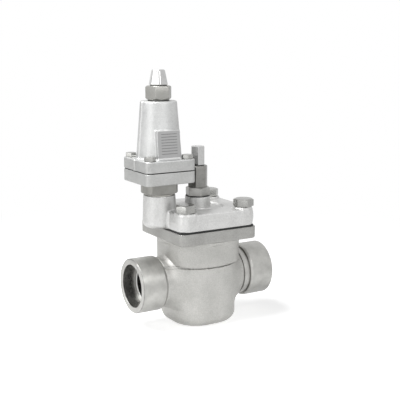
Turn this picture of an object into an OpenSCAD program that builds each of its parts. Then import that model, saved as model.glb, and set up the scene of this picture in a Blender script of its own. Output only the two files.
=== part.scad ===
// Pilot-operated pressure regulating valve with socket-weld ends, in millimetres.
// Origin: centre of the flat under the bowl. +X runs from the inlet to the outlet, +Z up.
// The pilot stands on the inlet side of the cover, the hand spindle on the bowl's axis.

/* [Pipe sockets] */
// Face-to-face length over the two pipe sockets
face_to_face = 152; // [144:1:184]
// Height of the pipe axis above the base
port_height = 44.5; // [42:0.5:54]
// Bore that takes the pipe end
socket_bore = 42.9; // [38:0.1:51.6]
// Wall of the socket round its bore
socket_wall = 6.05; // [4:0.05:8]
// Depth of the pipe socket
socket_depth = 13; // [11:0.5:16]
// Length of the thick socket band
socket_length = 27; // [22:0.5:30]
// Flow passage behind the socket
passage_d = 32; // [27:0.5:36]
// Wall of the neck round the flow passage
neck_wall = 9; // [7:0.5:10]

/* [Bowl] */
// Thickness of the bowl's side wall
bowl_wall = 7; // [5:0.5:9]
// Corner radius of the bowl in plan
bowl_corner = 30; // [24:1:34]
// Radius round the bowl's bottom edge
bowl_edge = 10; // [8:1:12]
// Thickness of the bowl's floor
bowl_floor = 7; // [6:0.5:9]
// Thickness of the bridge between inlet and outlet
bridge = 6; // [5:0.5:8]
// Radial gap for the flow round the cage
flow_gap = 7; // [5:0.5:8.5]

/* [Valve module] */
// Seat opening
seat_d = 30; // [25:0.5:36]
// Piston diameter
piston_d = 44; // [40:0.5:53]
// Height of the piston
piston_height = 12; // [11:0.5:16]
// Full opening stroke of the piston
stroke = 10; // [8:0.5:12]
// Wall of the cylinder round the piston
cylinder_wall = 5; // [4:0.5:7]
// Piston stem
stem_d = 10; // [9:0.5:12]
// Flow windows round the cage
window_count = 6; // [4:1:8]
// Wire of the closing spring
main_wire = 2; // [1.6:0.1:2.2]

/* [Flange and cover] */
// Wall of the collar outside the module's flange
collar_wall = 9; // [7:0.5:10]
// Corner radius of the collar in plan
collar_corner = 34; // [28:1:38]
// Thickness of the body flange
flange_thickness = 12; // [10:0.5:15]
// Corner radius of the body flange
flange_corner = 6; // [4:0.5:9]
// Gasket under the cover
gasket_thickness = 1.4; // [1:0.1:2]
// Thickness of the cover
cover_thickness = 17; // [15:0.5:20]
// Cover bolt
cover_bolt = 12; // [10:0.5:14]
// Width across flats of the cover bolt's head
cover_bolt_flats = 18; // [16:0.5:21]

/* [Hand spindle] */
// Thread of the hand spindle
spindle_d = 10; // [9:0.5:11]
// Hand spindle travel down to the closed piston
spindle_travel = 10; // [8:0.5:10]
// Width across flats of the bushing in the cover
bushing_flats = 22; // [20:0.5:26]
// Width across flats of the packing gland nut
gland_flats = 18; // [17:0.5:21]
// Width across flats of the spindle's seal cap
cap_flats = 13; // [12.5:0.5:15.5]

/* [Pilot valve] */
// Pilot thread in the cover
pilot_thread = 24; // [22:0.5:28]
// Side of the pilot's square flanges
pilot_flange = 54; // [50:0.5:64]
// Thickness of the lower pilot flange
pilot_lower = 11.7; // [10:0.1:14]
// Thickness of the upper pilot flange
pilot_upper = 11.1; // [10:0.1:13]
// Width across the flats under the lower flange
pilot_flats = 26; // [25.5:0.5:31]
// Pilot bolt
pilot_bolt = 6; // [5:0.5:7]
// Thickness of the diaphragm
diaphragm = 0.3; // [0.2:0.05:0.5]
// Lift of the diaphragm off the pilot orifice
pilot_lift = 1; // [0.6:0.1:1.2]
// Height of the spring housing above its flange
housing_height = 55.7; // [52:0.1:66]
// Taper of the spring housing, width lost per height at one side
housing_taper = 0.08; // [0.06:0.005:0.09]
// Wire of the setting spring
setting_wire = 3; // [2.5:0.1:3.4]
// Travel of the setting spindle
setting_travel = 10; // [8:0.5:11]
// Width across flats of the gland on the housing
pilot_gland_flats = 22.4; // [20:0.2:26]

/* [Hidden] */

// Clearances. A running fit is radial, a seal lies this far from its groove all round.
running = 0.05;
slip = 0.02;
thread_slip = 0.05;
seal_gap = 0.03;
over = 1;
fine = 96;
coarse = 48;

// Colours
cast_steel = [0.74, 0.73, 0.70];
pale_steel = [0.84, 0.84, 0.82];
dull_steel = [0.58, 0.58, 0.55];
bright_steel = [0.86, 0.86, 0.85];
spring_steel = [0.45, 0.46, 0.48];
black_seal = [0.08, 0.08, 0.08];
white_seal = [0.90, 0.89, 0.85];
bronze = [0.70, 0.52, 0.30];

// Radii of the module and of what holds it
seat_r = seat_d/2;
spigot_r = seat_r + 5;
cage_r = seat_r + 7;
cage_bore_r = cage_r - 4;
piston_r = piston_d/2;
cylinder_r = max(piston_r + cylinder_wall, cage_r + 3);
module_flange_r = cylinder_r + 4;
chamber_r = cage_r + flow_gap;
stem_r = stem_d/2;
stem_end_r = stem_r - 1;

// Body in plan
bowl_w = 2*(chamber_r + bowl_wall);
collar_w = max(2*(module_flange_r + collar_wall), bowl_w + 6);
bolt_band = 10.5;
cover_bolt_r = cover_bolt/2;
bolt_at = (module_flange_r + bolt_band + cover_bolt_r)/sqrt(2);
flange_edge = 10.25;
flange_w = 2*(bolt_at + flange_edge);
gasket_w = flange_w - 2.4;

// Pipe ends
socket_r = socket_bore/2 + socket_wall;
socket_chamfer = 0.8;
passage_r = passage_d/2;
neck_r = passage_r + neck_wall;
neck_step = 1.5;
flare_r = 6;

// Body heights
bridge_z = port_height - bridge/2;
bridge_top = bridge_z + bridge;
seat_z = bridge_z - 3.5;
chamber_top = port_height + passage_r + 5.5;
collar_z = chamber_top - 2;
partition = 6;
piston_low = chamber_top + partition + 2;
piston_z = piston_low + stroke;
piston_top = piston_z + piston_height;
body_top = piston_top + 4.6;
flange_z = body_top - flange_thickness;
cover_z = body_top + gasket_thickness;
module_shoulder_z = cover_z - 10;
lip_height = 3.5;
lip_r = flange_w/2 - 2.4;
chamber_low_r = chamber_r - 2;
spring_recess = 1.5;
spring_floor = bowl_floor - spring_recess;

// Piston and cone
ring_height = 3;
ring_depth = 2;
nut_flats = 13;
nut_height = 5.8;
crown_r = 10;
cone_flange = 5.3;
cone_low = seat_z - 7;
cone_hub = 5;
plug_height = 8;
plate_r = seat_r + 3;
plate_t = 1.65;
main_coil_r = 12;
main_turns = 6;

// Cover
cover_w = flange_w - 0.7;
cover_corner = 9;
cover_draft = 0.8;
cover_top = cover_z + cover_thickness;
bolt_seat_r = 10.8;
bolt_seat = 1.6;
pocket_r = 25;
pocket_depth = 2.2;
recess_depth = 9;
recess_z = cover_z + recess_depth;
spindle_boss_r = 13;
spindle_boss_top = cover_top + 10.2;

// Pilot place and port
pilot_x = -(flange_w/2 + 0.35);
pilot_boss_r = pilot_thread/2 + 3.9;
pilot_boss_draft = 1.3;
pilot_boss_edge = 6;
pilot_boss_top = cover_z + 32.6;
port_floor = cover_z + 11;
port_ring = 4;
port_ring_r = pilot_thread/2 + 1;
pilot_spigot_r = 6;
channel_r = 2.5;
channel_z = cover_z + 5;
supply_r = 1.5;
supply_x = pilot_x + 10.4;
supply_y = 7;

// Hand spindle stack
spindle_r = spindle_d/2;
bushing_thread_r = spindle_r + 5;
washer_t = 0.8;
bushing_z = spindle_boss_top + washer_t;
bushing_hex = 8.6;
bushing_low = recess_z + 7;
gland_z = bushing_z + bushing_hex;
gland_hex = 21.9;
gland_neck_r = spindle_r + 2;
packing_z = gland_z + 11.4;
packing_height = 5.4;
spindle_upper_r = spindle_r - 1;
cap_neck_r = spindle_r;
cap_neck = 5;
cap_washer = 0.5;
cap_z = gland_z + gland_hex + cap_washer;
cap_height = 19;
foot_z = piston_top + spindle_travel + 0.4;
foot_height = 4;
foot_r = 6.5;
foot_pin_r = 3;
socket_key = 4;
socket_key_depth = 5;

// Pilot stack
pilot_bolt_at = pilot_flange/2 - 6.5;
pilot_corner = 5;
pilot_washer = 1;
pilot_hex_z = pilot_boss_top + pilot_washer;
pilot_hex = 12.1;
pilot_hex_r = pilot_flats/2 + 5.3;
pilot_low_z = pilot_hex_z + pilot_hex;
pilot_low_top = pilot_low_z + pilot_lower;
pilot_gasket_t = 0.5;
diaphragm_z = pilot_low_top + pilot_gasket_t;
pilot_up_z = diaphragm_z + diaphragm;
pilot_up_top = pilot_up_z + pilot_upper;
diaphragm_bore_r = 19;
diaphragm_r = min(pilot_bolt_at*sqrt(2) - pilot_bolt/2 - 1.5, pilot_flange/2 - 2.5);
orifice_r = 5.5;
orifice_depth = 7;
chamber_depth = 6.4;
rib_r = 1.4;
rib_proud = 1.1;
seam_r = 0.95;
seam_proud = 0.5;

// Spring housing and setting gear
housing_top = pilot_up_top + housing_height;
housing_r = 22.4;
housing_top_r = housing_r - housing_taper*housing_height;
housing_edge = 2.5;
spring_bore_r = 17.5;
upper_bore_r = 14.8;
bore_step_z = pilot_up_top + 14;
ceiling_z = housing_top - 13;
plate_clear = 1;
pressure_plate_r = spring_bore_r - plate_clear;
pressure_plate_t = 3;
setting_coil_r = 11.2;
setting_turns = 8;
spring_guide_r = setting_coil_r - setting_wire/2 - 1.1;
spring_plate_r = upper_bore_r - plate_clear;
spring_plate_t = 3.5;
spring_plate_z = ceiling_z - 4.5 - spring_plate_t;
setting_r = 5;
setting_tip_r = 3.5;
setting_neck_r = 3.5;
gland_nipple_r = 8;
gland_nipple = 5;
gland_collar_r = 10.6;
gland_collar = 2.5;
pilot_gland_z = housing_top + gland_collar;
pilot_gland_hex = 12;
pilot_neck_r = 5.5;
pilot_neck = 5.5;
pilot_cap_z = pilot_gland_z + pilot_gland_hex + cap_washer;
pilot_cap_height = 15;
pilot_cap_flats = 17;
pilot_cap_top_flats = 11.6;
pad_w = 25;
pad_height = 28.5;

// Turn of each hexagon about its own axis, as the parts came to rest when tightened
bushing_turn = 15;
gland_turn = 50;
cap_turn = 12;
pilot_hex_turn = -10;
pilot_gland_turn = 45;
pilot_cap_turn = 14;
cover_bolt_turns = [4, 22, 47, 33];
pilot_bolt_turns = [28, 12, 41, 7];

// Square with rounded corners, centred
module rounded_square(w, r) {
    square([w, w - 2*r], center=true);
    square([w - 2*r, w], center=true);
    for (x = [-1, 1], y = [-1, 1])
        translate([x*(w/2 - r), y*(w/2 - r)])
            circle(r=r, $fn=fine);
}

// Upright profile with its two lower corners rounded
module edge_profile(w, h, r) {
    translate([-w/2, r])
        square([w, h - r]);
    translate([-w/2 + r, 0])
        square([w - 2*r, r + over]);
    for (x = [-1, 1])
        translate([x*(w/2 - r), r])
            circle(r=r, $fn=fine);
}

// Right half of a profile, ready to be turned
module half(r, h) {
    intersection() {
        children();
        translate([0, -over])
            square([r + over, h + 2*over]);
    }
}

module disc(r, z0, z1) {
    translate([0, 0, z0])
        cylinder(r=r, h=z1 - z0, $fn=fine);
}

module ring(r_out, r_in, z0, z1) {
    difference() {
        disc(r_out, z0, z1);
        disc(r_in, z0 - over, z1 + over);
    }
}

// Turned blank with 30 degree chamfers that reach in to chamfer_r
module chamfered_blank(r, chamfer_r, h, low, high) {
    drop = (r - chamfer_r)*tan(30);
    rotate_extrude($fn=fine)
        polygon([[0, 0], [low ? chamfer_r : r, 0], [r, low ? drop : 0],
            [r, high ? h - drop : h], [high ? chamfer_r : r, h], [0, h]]);
}

// Hexagon with chamfered corners
module hexagon(flats, z0, z1, turn=0, low=false, high=true) {
    corner_r = flats/sqrt(3);
    translate([0, 0, z0])
        rotate([0, 0, turn])
            intersection() {
                cylinder(r=corner_r, h=z1 - z0, $fn=6);
                chamfered_blank(corner_r + 0.2, flats/2*0.96, z1 - z0, low, high);
            }
}

// Key socket sunk from the top end of a spindle
module hexagon_socket(top) {
    translate([0, 0, top - socket_key_depth])
        cylinder(r=socket_key/sqrt(3), h=socket_key_depth + over, $fn=6);
}

// Seal cord lying in a ring
module oring(r, cord_r, z) {
    translate([0, 0, z])
        rotate_extrude($fn=fine)
            translate([r, 0])
                circle(r=cord_r, $fn=coarse);
}

// Height along a coil with one nearly closed turn at each end
function coil_rise(t, turns, closed, open) =
    t < 1 ? closed*t
    : t > turns - 1 ? closed + open*(turns - 2) + closed*(t - turns + 1)
    : closed + open*(t - 1);

// Compression spring between two seats
module coil(mean_r, wire_r, z0, z1, turns) {
    sides = 8;
    steps = 16;
    closed = 2.16*wire_r;
    open = (z1 - z0 - 2*wire_r - 2*closed)/(turns - 2);
    count = turns*steps;
    points = [for (i = [0:count], k = [0:sides - 1])
        let (a = 360*i/steps, b = 360*k/sides, r = mean_r + wire_r*cos(b))
        [r*cos(a), r*sin(a), z0 + wire_r + coil_rise(i/steps, turns, closed, open) + wire_r*sin(b)]];
    walls = [for (i = [0:count - 1], k = [0:sides - 1])
        let (n = (k + 1)%sides)
        [i*sides + k, i*sides + n, (i + 1)*sides + n, (i + 1)*sides + k]];
    start = [for (k = [0:sides - 1]) sides - 1 - k];
    finish = [for (k = [0:sides - 1]) count*sides + k];
    polyhedron(points=points, faces=concat([start], walls, [finish]), convexity=10);
}

module hex_bolt(shank_r, flats, head, z_low, z_seat, turn) {
    disc(shank_r, z_low, z_seat + 0.01);
    hexagon(flats, z_seat, z_seat + head, turn);
}

module at_cover_bolts() {
    corners = [[-1, -1], [1, -1], [1, 1], [-1, 1]];
    for (i = [0:3])
        translate([corners[i][0]*bolt_at, corners[i][1]*bolt_at, 0]) {
            $turn = cover_bolt_turns[i];
            children();
        }
}

module at_pilot() {
    translate([pilot_x, 0, 0])
        children();
}

module at_pilot_bolts() {
    corners = [[-1, -1], [1, -1], [1, 1], [-1, 1]];
    for (i = [0:3])
        translate([pilot_x + corners[i][0]*pilot_bolt_at, corners[i][1]*pilot_bolt_at, 0]) {
            $turn = pilot_bolt_turns[i];
            children();
        }
}

// Rounded bowl: four turned corners joined by two bars with the same bottom edge
module bowl() {
    inner = bowl_w/2 - bowl_corner;
    height = collar_z + 2;
    for (x = [-1, 1], y = [-1, 1])
        translate([x*inner, y*inner, 0])
            rotate_extrude($fn=fine)
                half(bowl_corner, height)
                    edge_profile(2*bowl_corner, height, bowl_edge);
    for (a = [0, 90])
        rotate([0, 0, a])
            rotate([90, 0, 90])
                linear_extrude(2*inner, center=true)
                    edge_profile(bowl_w, height, bowl_edge);
}

// One pipe end, turned about the pipe axis, on the outlet side
module pipe_end() {
    end = face_to_face/2;
    start = end - socket_length;
    flare = bowl_w/2 + flare_r;
    translate([0, 0, port_height])
        rotate([0, 90, 0])
            rotate_extrude($fn=fine) {
                difference() {
                    union() {
                        square([neck_r, start + over]);
                        square([neck_r + flare_r, flare]);
                    }
                    translate([neck_r + flare_r, flare])
                        circle(r=flare_r, $fn=fine);
                }
                polygon([[0, start], [neck_r, start], [socket_r - neck_step/2, start],
                    [socket_r, start + neck_step], [socket_r, end - socket_chamfer],
                    [socket_r - socket_chamfer, end], [0, end]]);
            }
}

// Socket, passage and slanting throat on the inlet side; the outlet's is its mirror in the bridge
module inlet_passage() {
    end = face_to_face/2;
    turn_x = bowl_w/2 + passage_r - 2;
    throat_r = passage_r*0.7;
    translate([-end - over, 0, port_height])
        rotate([0, 90, 0]) {
            cylinder(r=socket_bore/2, h=socket_depth + over, $fn=fine);
            cylinder(r=passage_r, h=end - turn_x + over, $fn=fine);
        }
    translate([-turn_x, 0, port_height])
        sphere(r=passage_r, $fn=fine);
    intersection() {
        translate([-turn_x, 0, port_height - 3])
            rotate([0, 116, 0])
                cylinder(r=throat_r, h=turn_x - 12, $fn=fine);
        disc(turn_x + passage_r, bowl_floor + 4, bridge_z);
    }
}

// Everything hollow in the body
module body_cavity() {
    disc(chamber_low_r, bowl_floor, bridge_z);
    disc(main_coil_r + main_wire/2 + 0.4, spring_floor, bowl_floor + over);
    disc(chamber_r, bridge_top, chamber_top);
    disc(spigot_r + running, bridge_z - over, bridge_top + over);
    disc(cylinder_r + running, chamber_top - over, body_top + over);
    disc(module_flange_r + running, module_shoulder_z - 0.1, body_top + over);
    inlet_passage();
    translate([0, 0, 2*port_height])
        rotate([0, 180, 0])
            inlet_passage();
    translate([supply_x, supply_y, port_height])
        cylinder(r=supply_r, h=body_top - port_height + over, $fn=coarse);
}

module valve_body() {
    color(cast_steel)
        difference() {
            union() {
                bowl();
                translate([0, 0, collar_z])
                    linear_extrude(flange_z - collar_z + over)
                        rounded_square(collar_w, collar_corner);
                disc(lip_r, flange_z - lip_height, flange_z + over);
                translate([0, 0, flange_z])
                    linear_extrude(flange_thickness)
                        rounded_square(flange_w, flange_corner);
                for (a = [0, 180])
                    rotate([0, 0, a])
                        pipe_end();
            }
            body_cavity();
            at_cover_bolts()
                disc(cover_bolt_r, flange_z - 1.5, body_top + over);
        }
}

// Cage, seat and piston cylinder in one turned insert
module module_cylinder() {
    window_h = chamber_top - bridge_top - 5.5;
    window_w = 1.5*PI*cage_r/window_count/2;
    groove = 2.2;
    color(dull_steel)
        difference() {
            union() {
                disc(spigot_r, seat_z, bridge_top);
                disc(cage_r, bridge_top, chamber_top + over);
                disc(cylinder_r, chamber_top, module_shoulder_z + over);
                disc(module_flange_r, module_shoulder_z, cover_z);
            }
            disc(seat_r, seat_z - over, bridge_top + over);
            disc(cage_bore_r, bridge_top + 0.5, chamber_top);
            disc(stem_r + running, chamber_top - over, chamber_top + partition + over);
            disc(piston_r, chamber_top + partition, cover_z + over);
            for (i = [0:3])
                rotate([0, 0, 45 + 90*i])
                    translate([piston_r*0.55, 0, 0])
                        disc(1.5, chamber_top - over, chamber_top + partition + over);
            for (i = [0:window_count - 1])
                rotate([0, 0, 360/window_count*(i + 0.5)])
                    translate([seat_r, -window_w/2, bridge_top + 3])
                        cube([cage_r, window_w, window_h]);
            ring(spigot_r + over, spigot_r - groove, seat_z + 4.2, seat_z + 7.2);
            ring(cylinder_r + over, cylinder_r - groove, piston_z - 6, piston_z - 3);
        }
}

module module_upper_oring() {
    gap = 2.2 + running;
    color(black_seal)
        oring(cylinder_r + running - gap/2, gap/2 - seal_gap, piston_z - 4.5);
}

module module_lower_oring() {
    gap = 2.2 + running;
    color(black_seal)
        oring(spigot_r + running - gap/2, gap/2 - seal_gap, seat_z + 5.7);
}

module main_piston() {
    ring_z = piston_z + (piston_height - ring_height)/2;
    color(dull_steel)
        difference() {
            disc(piston_r - running, piston_z, piston_top);
            disc(crown_r, piston_top - nut_height - 0.2, piston_top + over);
            disc(stem_end_r + slip, piston_z - over, piston_top);
            ring(piston_r + over, piston_r - ring_depth, ring_z, ring_z + ring_height);
            translate([piston_r*0.68, 0, 0])
                disc(0.8, piston_z - over, piston_top + over);
        }
}

module piston_ring() {
    ring_z = piston_z + (piston_height - ring_height)/2;
    color(white_seal)
        ring(piston_r - slip, piston_r - ring_depth + slip, ring_z + slip, ring_z + ring_height - slip);
}

module piston_stem() {
    color(bright_steel) {
        disc(stem_end_r, cone_low - cone_hub - nut_height - 0.6, piston_top - 0.6);
        disc(stem_r, seat_z + plug_height, piston_z);
    }
}

module piston_nut() {
    color(bright_steel)
        difference() {
            hexagon(nut_flats, piston_top - nut_height - 0.2, piston_top - 0.2);
            disc(stem_end_r + slip, piston_z, piston_top + over);
        }
}

module throttle_cone() {
    lip = 1.2;
    color(dull_steel)
        rotate_extrude($fn=fine)
            polygon([[stem_end_r + slip, cone_low - cone_hub], [8.5, cone_low - cone_hub],
                [8.5, cone_low], [plate_r + lip, cone_low], [plate_r + lip, cone_low + cone_flange + 1],
                [plate_r + slip, cone_low + cone_flange + 1], [plate_r + slip, cone_low + cone_flange],
                [seat_r - 0.2, cone_low + cone_flange], [seat_r - 0.2, seat_z],
                [seat_r - 2.2, seat_z + plug_height*0.5], [seat_r*0.6, seat_z + plug_height],
                [stem_end_r + slip, seat_z + plug_height]]);
}

module valve_plate() {
    color(white_seal)
        ring(plate_r, seat_r - 0.2 + slip, seat_z - slip - plate_t, seat_z - slip);
}

module cone_nut() {
    color(bright_steel)
        difference() {
            hexagon(nut_flats, cone_low - cone_hub - nut_height, cone_low - cone_hub, 0, true, false);
            disc(stem_end_r + slip, cone_low - cone_hub - nut_height - over, cone_low);
        }
}

module main_spring() {
    color(spring_steel)
        coil(main_coil_r, main_wire/2, spring_floor + slip, cone_low - slip, main_turns);
}

module cover_gasket() {
    color(black_seal)
        difference() {
            translate([0, 0, body_top])
                linear_extrude(gasket_thickness)
                    rounded_square(gasket_w, flange_corner);
            disc(module_flange_r + running, body_top - over, cover_z + over);
            at_cover_bolts()
                disc(cover_bolt_r + 0.6, body_top - over, cover_z + over);
            translate([supply_x, supply_y, 0])
                disc(supply_r, body_top - over, cover_z + over);
        }
}

// Turned boss that carries the pilot, with a rounded foot that overhangs the flange
module pilot_boss() {
    foot_r = pilot_boss_r + pilot_boss_draft;
    height = pilot_boss_top - cover_z;
    at_pilot()
        translate([0, 0, cover_z])
            rotate_extrude($fn=fine) {
                square([foot_r - pilot_boss_edge, pilot_boss_edge + over]);
                translate([foot_r - pilot_boss_edge, pilot_boss_edge])
                    circle(r=pilot_boss_edge, $fn=fine);
                polygon([[0, pilot_boss_edge], [foot_r, pilot_boss_edge],
                    [pilot_boss_r, height - 1], [pilot_boss_r - 1, height], [0, height]]);
                square([over, height]);
            }
}

// Half of the cover's drafted slab
module drafted_slab(w_low, w_high, z0, z1) {
    skin = 0.01;
    hull() {
        translate([0, 0, z0])
            linear_extrude(skin)
                rounded_square(w_low, cover_corner, $fn=32);
        translate([0, 0, z1 - skin])
            linear_extrude(skin)
                rounded_square(w_high, cover_corner, $fn=32);
    }
}

module spindle_boss() {
    foot = 1.8;
    low = cover_top - pocket_depth;
    translate([0, 0, low - over])
        rotate_extrude($fn=fine) {
            square([spindle_boss_r, spindle_boss_top - low + over]);
            difference() {
                square([spindle_boss_r + foot, foot + over]);
                translate([spindle_boss_r + foot, foot + over])
                    circle(r=foot, $fn=coarse);
            }
        }
}

module top_cover() {
    parting = cover_z + cover_thickness/2;
    color(pale_steel)
        difference() {
            union() {
                difference() {
                    union() {
                        drafted_slab(cover_w - 2*cover_draft, cover_w, cover_z, parting);
                        drafted_slab(cover_w, cover_w - 2.4*cover_draft, parting, cover_top);
                        at_cover_bolts()
                            disc(bolt_seat_r, cover_top - over, cover_top + bolt_seat);
                    }
                    ring(pocket_r, spindle_boss_r - over, cover_top - pocket_depth, cover_top + over);
                }
                pilot_boss();
                spindle_boss();
            }
            disc(piston_r, cover_z - over, recess_z);
            disc(spindle_r + 0.6, recess_z - over, spindle_boss_top + over);
            disc(bushing_thread_r, bushing_low, spindle_boss_top + over);
            at_cover_bolts()
                disc(cover_bolt_r + 0.6, cover_z - over, cover_top + 2*bolt_seat);
            at_pilot() {
                disc(pilot_thread/2, port_floor + port_ring - over, pilot_boss_top + over);
                disc(port_ring_r, port_floor, port_floor + port_ring);
                disc(pilot_spigot_r + running, cover_z + 2, port_floor + over);
            }
            translate([pilot_x, 0, channel_z])
                rotate([0, 90, 0])
                    cylinder(r=channel_r, h=-pilot_x - piston_r + 2, $fn=coarse);
            translate([supply_x, supply_y, 0])
                disc(supply_r, cover_z - over, port_floor + over);
        }
}

module cover_bolts() {
    color(bright_steel)
        at_cover_bolts()
            hex_bolt(cover_bolt_r - thread_slip, cover_bolt_flats, cover_bolt*0.65,
                flange_z + 0.6, cover_top + bolt_seat, $turn);
}

module bushing_gasket() {
    color(black_seal)
        ring(spindle_boss_r - 0.6, bushing_thread_r, spindle_boss_top, bushing_z);
}

module spindle_bushing() {
    color(bright_steel)
        difference() {
            union() {
                disc(bushing_thread_r - thread_slip, bushing_low, bushing_z + over);
                hexagon(bushing_flats, bushing_z, gland_z, bushing_turn);
                disc(gland_neck_r - thread_slip, gland_z - over, packing_z);
            }
            disc(spindle_r, bushing_low - over, gland_z - 8);
            disc(spindle_r + 0.3, gland_z - 8, packing_z + over);
        }
}

module spindle_foot() {
    color(bright_steel)
        difference() {
            disc(foot_r, foot_z, foot_z + foot_height);
            disc(foot_pin_r + running, foot_z + 1.9, foot_z + foot_height + over);
        }
}

// Hand spindle with its thrust pin, thread, plain neck and hexagon socket
module manual_spindle() {
    end = cap_z + cap_height - 4;
    color(bright_steel)
        difference() {
            union() {
                disc(foot_pin_r, foot_z + 2, foot_z + foot_height + over);
                disc(spindle_r - running, foot_z + foot_height + 0.3, gland_z + 6.4);
                disc(spindle_upper_r, gland_z + 6, end);
            }
            hexagon_socket(end);
        }
}

module spindle_packing() {
    color(white_seal)
        ring(gland_neck_r - running, spindle_upper_r + running, packing_z, packing_z + packing_height - slip);
}

module gland_nut() {
    top = gland_z + gland_hex;
    color(dull_steel)
        difference() {
            union() {
                hexagon(gland_flats, gland_z, top, gland_turn);
                disc(cap_neck_r - thread_slip, top - over, top + cap_neck);
            }
            disc(gland_neck_r, gland_z - over, packing_z + packing_height);
            disc(spindle_upper_r + running, packing_z, top + cap_neck + over);
        }
}

module spindle_cap_gasket() {
    color(black_seal)
        ring(cap_neck_r + 1.2, cap_neck_r, cap_z - cap_washer, cap_z);
}

module spindle_cap() {
    color(bright_steel)
        difference() {
            hexagon(cap_flats, cap_z, cap_z + cap_height, cap_turn);
            disc(cap_neck_r, cap_z - over, cap_z + cap_neck + 0.3);
            disc(spindle_upper_r + 0.3, cap_z, cap_z + cap_height - 3.5);
        }
}

module pilot_gasket() {
    color(dull_steel)
        at_pilot()
            ring(pilot_boss_r - 1.6, pilot_thread/2, pilot_boss_top, pilot_hex_z);
}

module pilot_oring() {
    gap = 1.6 + running;
    color(black_seal)
        at_pilot()
            oring(pilot_spigot_r + running - gap/2, gap/2 - seal_gap, port_floor - 2.4);
}

// Square flange, round nipple with two wrench flats, and thread of the pilot
module pilot_body() {
    floor_z = pilot_low_top - chamber_depth;
    low = cover_z + 4;
    color(dull_steel)
        difference() {
            union() {
                at_pilot() {
                    disc(pilot_spigot_r, low, port_floor + port_ring + over);
                    disc(pilot_thread/2 - thread_slip, port_floor + port_ring, pilot_hex_z + over);
                    translate([0, 0, pilot_hex_z])
                        rotate([0, 0, pilot_hex_turn])
                            intersection() {
                                translate([-pilot_flats, -pilot_flats/2, 0])
                                    cube([2*pilot_flats, pilot_flats, pilot_hex + over]);
                                chamfered_blank(pilot_hex_r, pilot_hex_r - 2.6, pilot_hex + over, true, false);
                            }
                    translate([0, 0, pilot_low_z])
                        linear_extrude(pilot_lower)
                            rounded_square(pilot_flange, pilot_corner);
                }
            }
            at_pilot() {
                disc(diaphragm_bore_r, floor_z, pilot_low_top + over);
                disc(orifice_r, floor_z - orifice_depth, floor_z + over);
                disc(channel_r, low - over, floor_z);
                ring(pilot_spigot_r + over, pilot_spigot_r - 1.6, port_floor - 3.6, port_floor - 1.2);
                for (a = [90, 270])
                    rotate([0, 0, a])
                        translate([8.6, 0, 0])
                            disc(1.2, port_floor + port_ring - over, floor_z + over);
            }
            at_pilot_bolts()
                disc(pilot_bolt/2, pilot_low_z - over, pilot_low_top + over);
        }
}

module pilot_orifice() {
    floor_z = pilot_low_top - chamber_depth;
    color(bronze)
        at_pilot()
            difference() {
                union() {
                    disc(orifice_r - thread_slip, floor_z - orifice_depth, floor_z);
                    disc(4, floor_z - over, diaphragm_z - 2);
                    translate([0, 0, diaphragm_z - 2])
                        cylinder(r1=4, r2=2.4, h=2 - slip, $fn=fine);
                }
                disc(1.5, floor_z - orifice_depth - over, diaphragm_z + over);
            }
}

module diaphragm_gasket() {
    color(black_seal)
        difference() {
            at_pilot()
                difference() {
                    translate([0, 0, pilot_low_top])
                        linear_extrude(pilot_gasket_t)
                            rounded_square(pilot_flange - 1, pilot_corner);
                    disc(diaphragm_bore_r, pilot_low_top - over, diaphragm_z + over);
                }
            at_pilot_bolts()
                disc(pilot_bolt/2 + 0.4, pilot_low_top - over, diaphragm_z + over);
        }
}

module pilot_diaphragm() {
    color(bright_steel)
        at_pilot()
            disc(diaphragm_r, diaphragm_z, pilot_up_z);
}

module pressure_plate() {
    base = pilot_up_z + slip;
    color(dull_steel)
        at_pilot() {
            disc(pressure_plate_r, base, base + pressure_plate_t);
            disc(spring_guide_r, base, base + pressure_plate_t + 4.5);
        }
}

module setting_spring() {
    color(spring_steel)
        at_pilot()
            coil(setting_coil_r, setting_wire/2, pilot_up_z + pressure_plate_t + 2*slip,
                spring_plate_z - slip, setting_turns);
}

module spring_plate() {
    top = spring_plate_z + spring_plate_t;
    color(dull_steel)
        at_pilot()
            difference() {
                union() {
                    disc(spring_plate_r, spring_plate_z, top);
                    disc(spring_guide_r, spring_plate_z - 5, top);
                }
                disc(setting_tip_r + running, spring_plate_z - 2.1, top + over);
            }
}

// Setting spindle with its tip, thread, plain neck and hexagon socket
module setting_spindle() {
    top = spring_plate_z + spring_plate_t;
    thread_top = ceiling_z + 14;
    end = pilot_cap_z + 9;
    color(bright_steel)
        at_pilot()
            difference() {
                union() {
                    disc(setting_tip_r, spring_plate_z - 2, top + over);
                    disc(setting_r - running, top + 0.3, thread_top);
                    disc(setting_neck_r - running, thread_top - over, end);
                }
                hexagon_socket(end);
            }
}

// Flat pad on the cone's front, parallel to the cone's side
module label_pad() {
    depth = 10;
    face_low = housing_r - 0.3;
    face_high = face_low - housing_taper*pad_height;
    translate([pad_w/2, 0, pilot_up_top - over])
        rotate([90, 0, -90])
            linear_extrude(pad_w)
                polygon([[face_low - depth, 0], [face_low + housing_taper*over, 0],
                    [face_high, pad_height + over], [face_high - depth, pad_height + over]]);
}

// Mould seam up the cone, one on each side in the plane of the flange's ribs
module housing_seams() {
    lean = atan(housing_taper);
    for (side = [-1, 1])
        translate([side*(housing_r + seam_proud - seam_r), 0, pilot_up_top - over])
            rotate([0, -side*lean, 0])
                cylinder(r=seam_r, h=(housing_height - housing_edge)/cos(lean), $fn=coarse);
}

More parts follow.
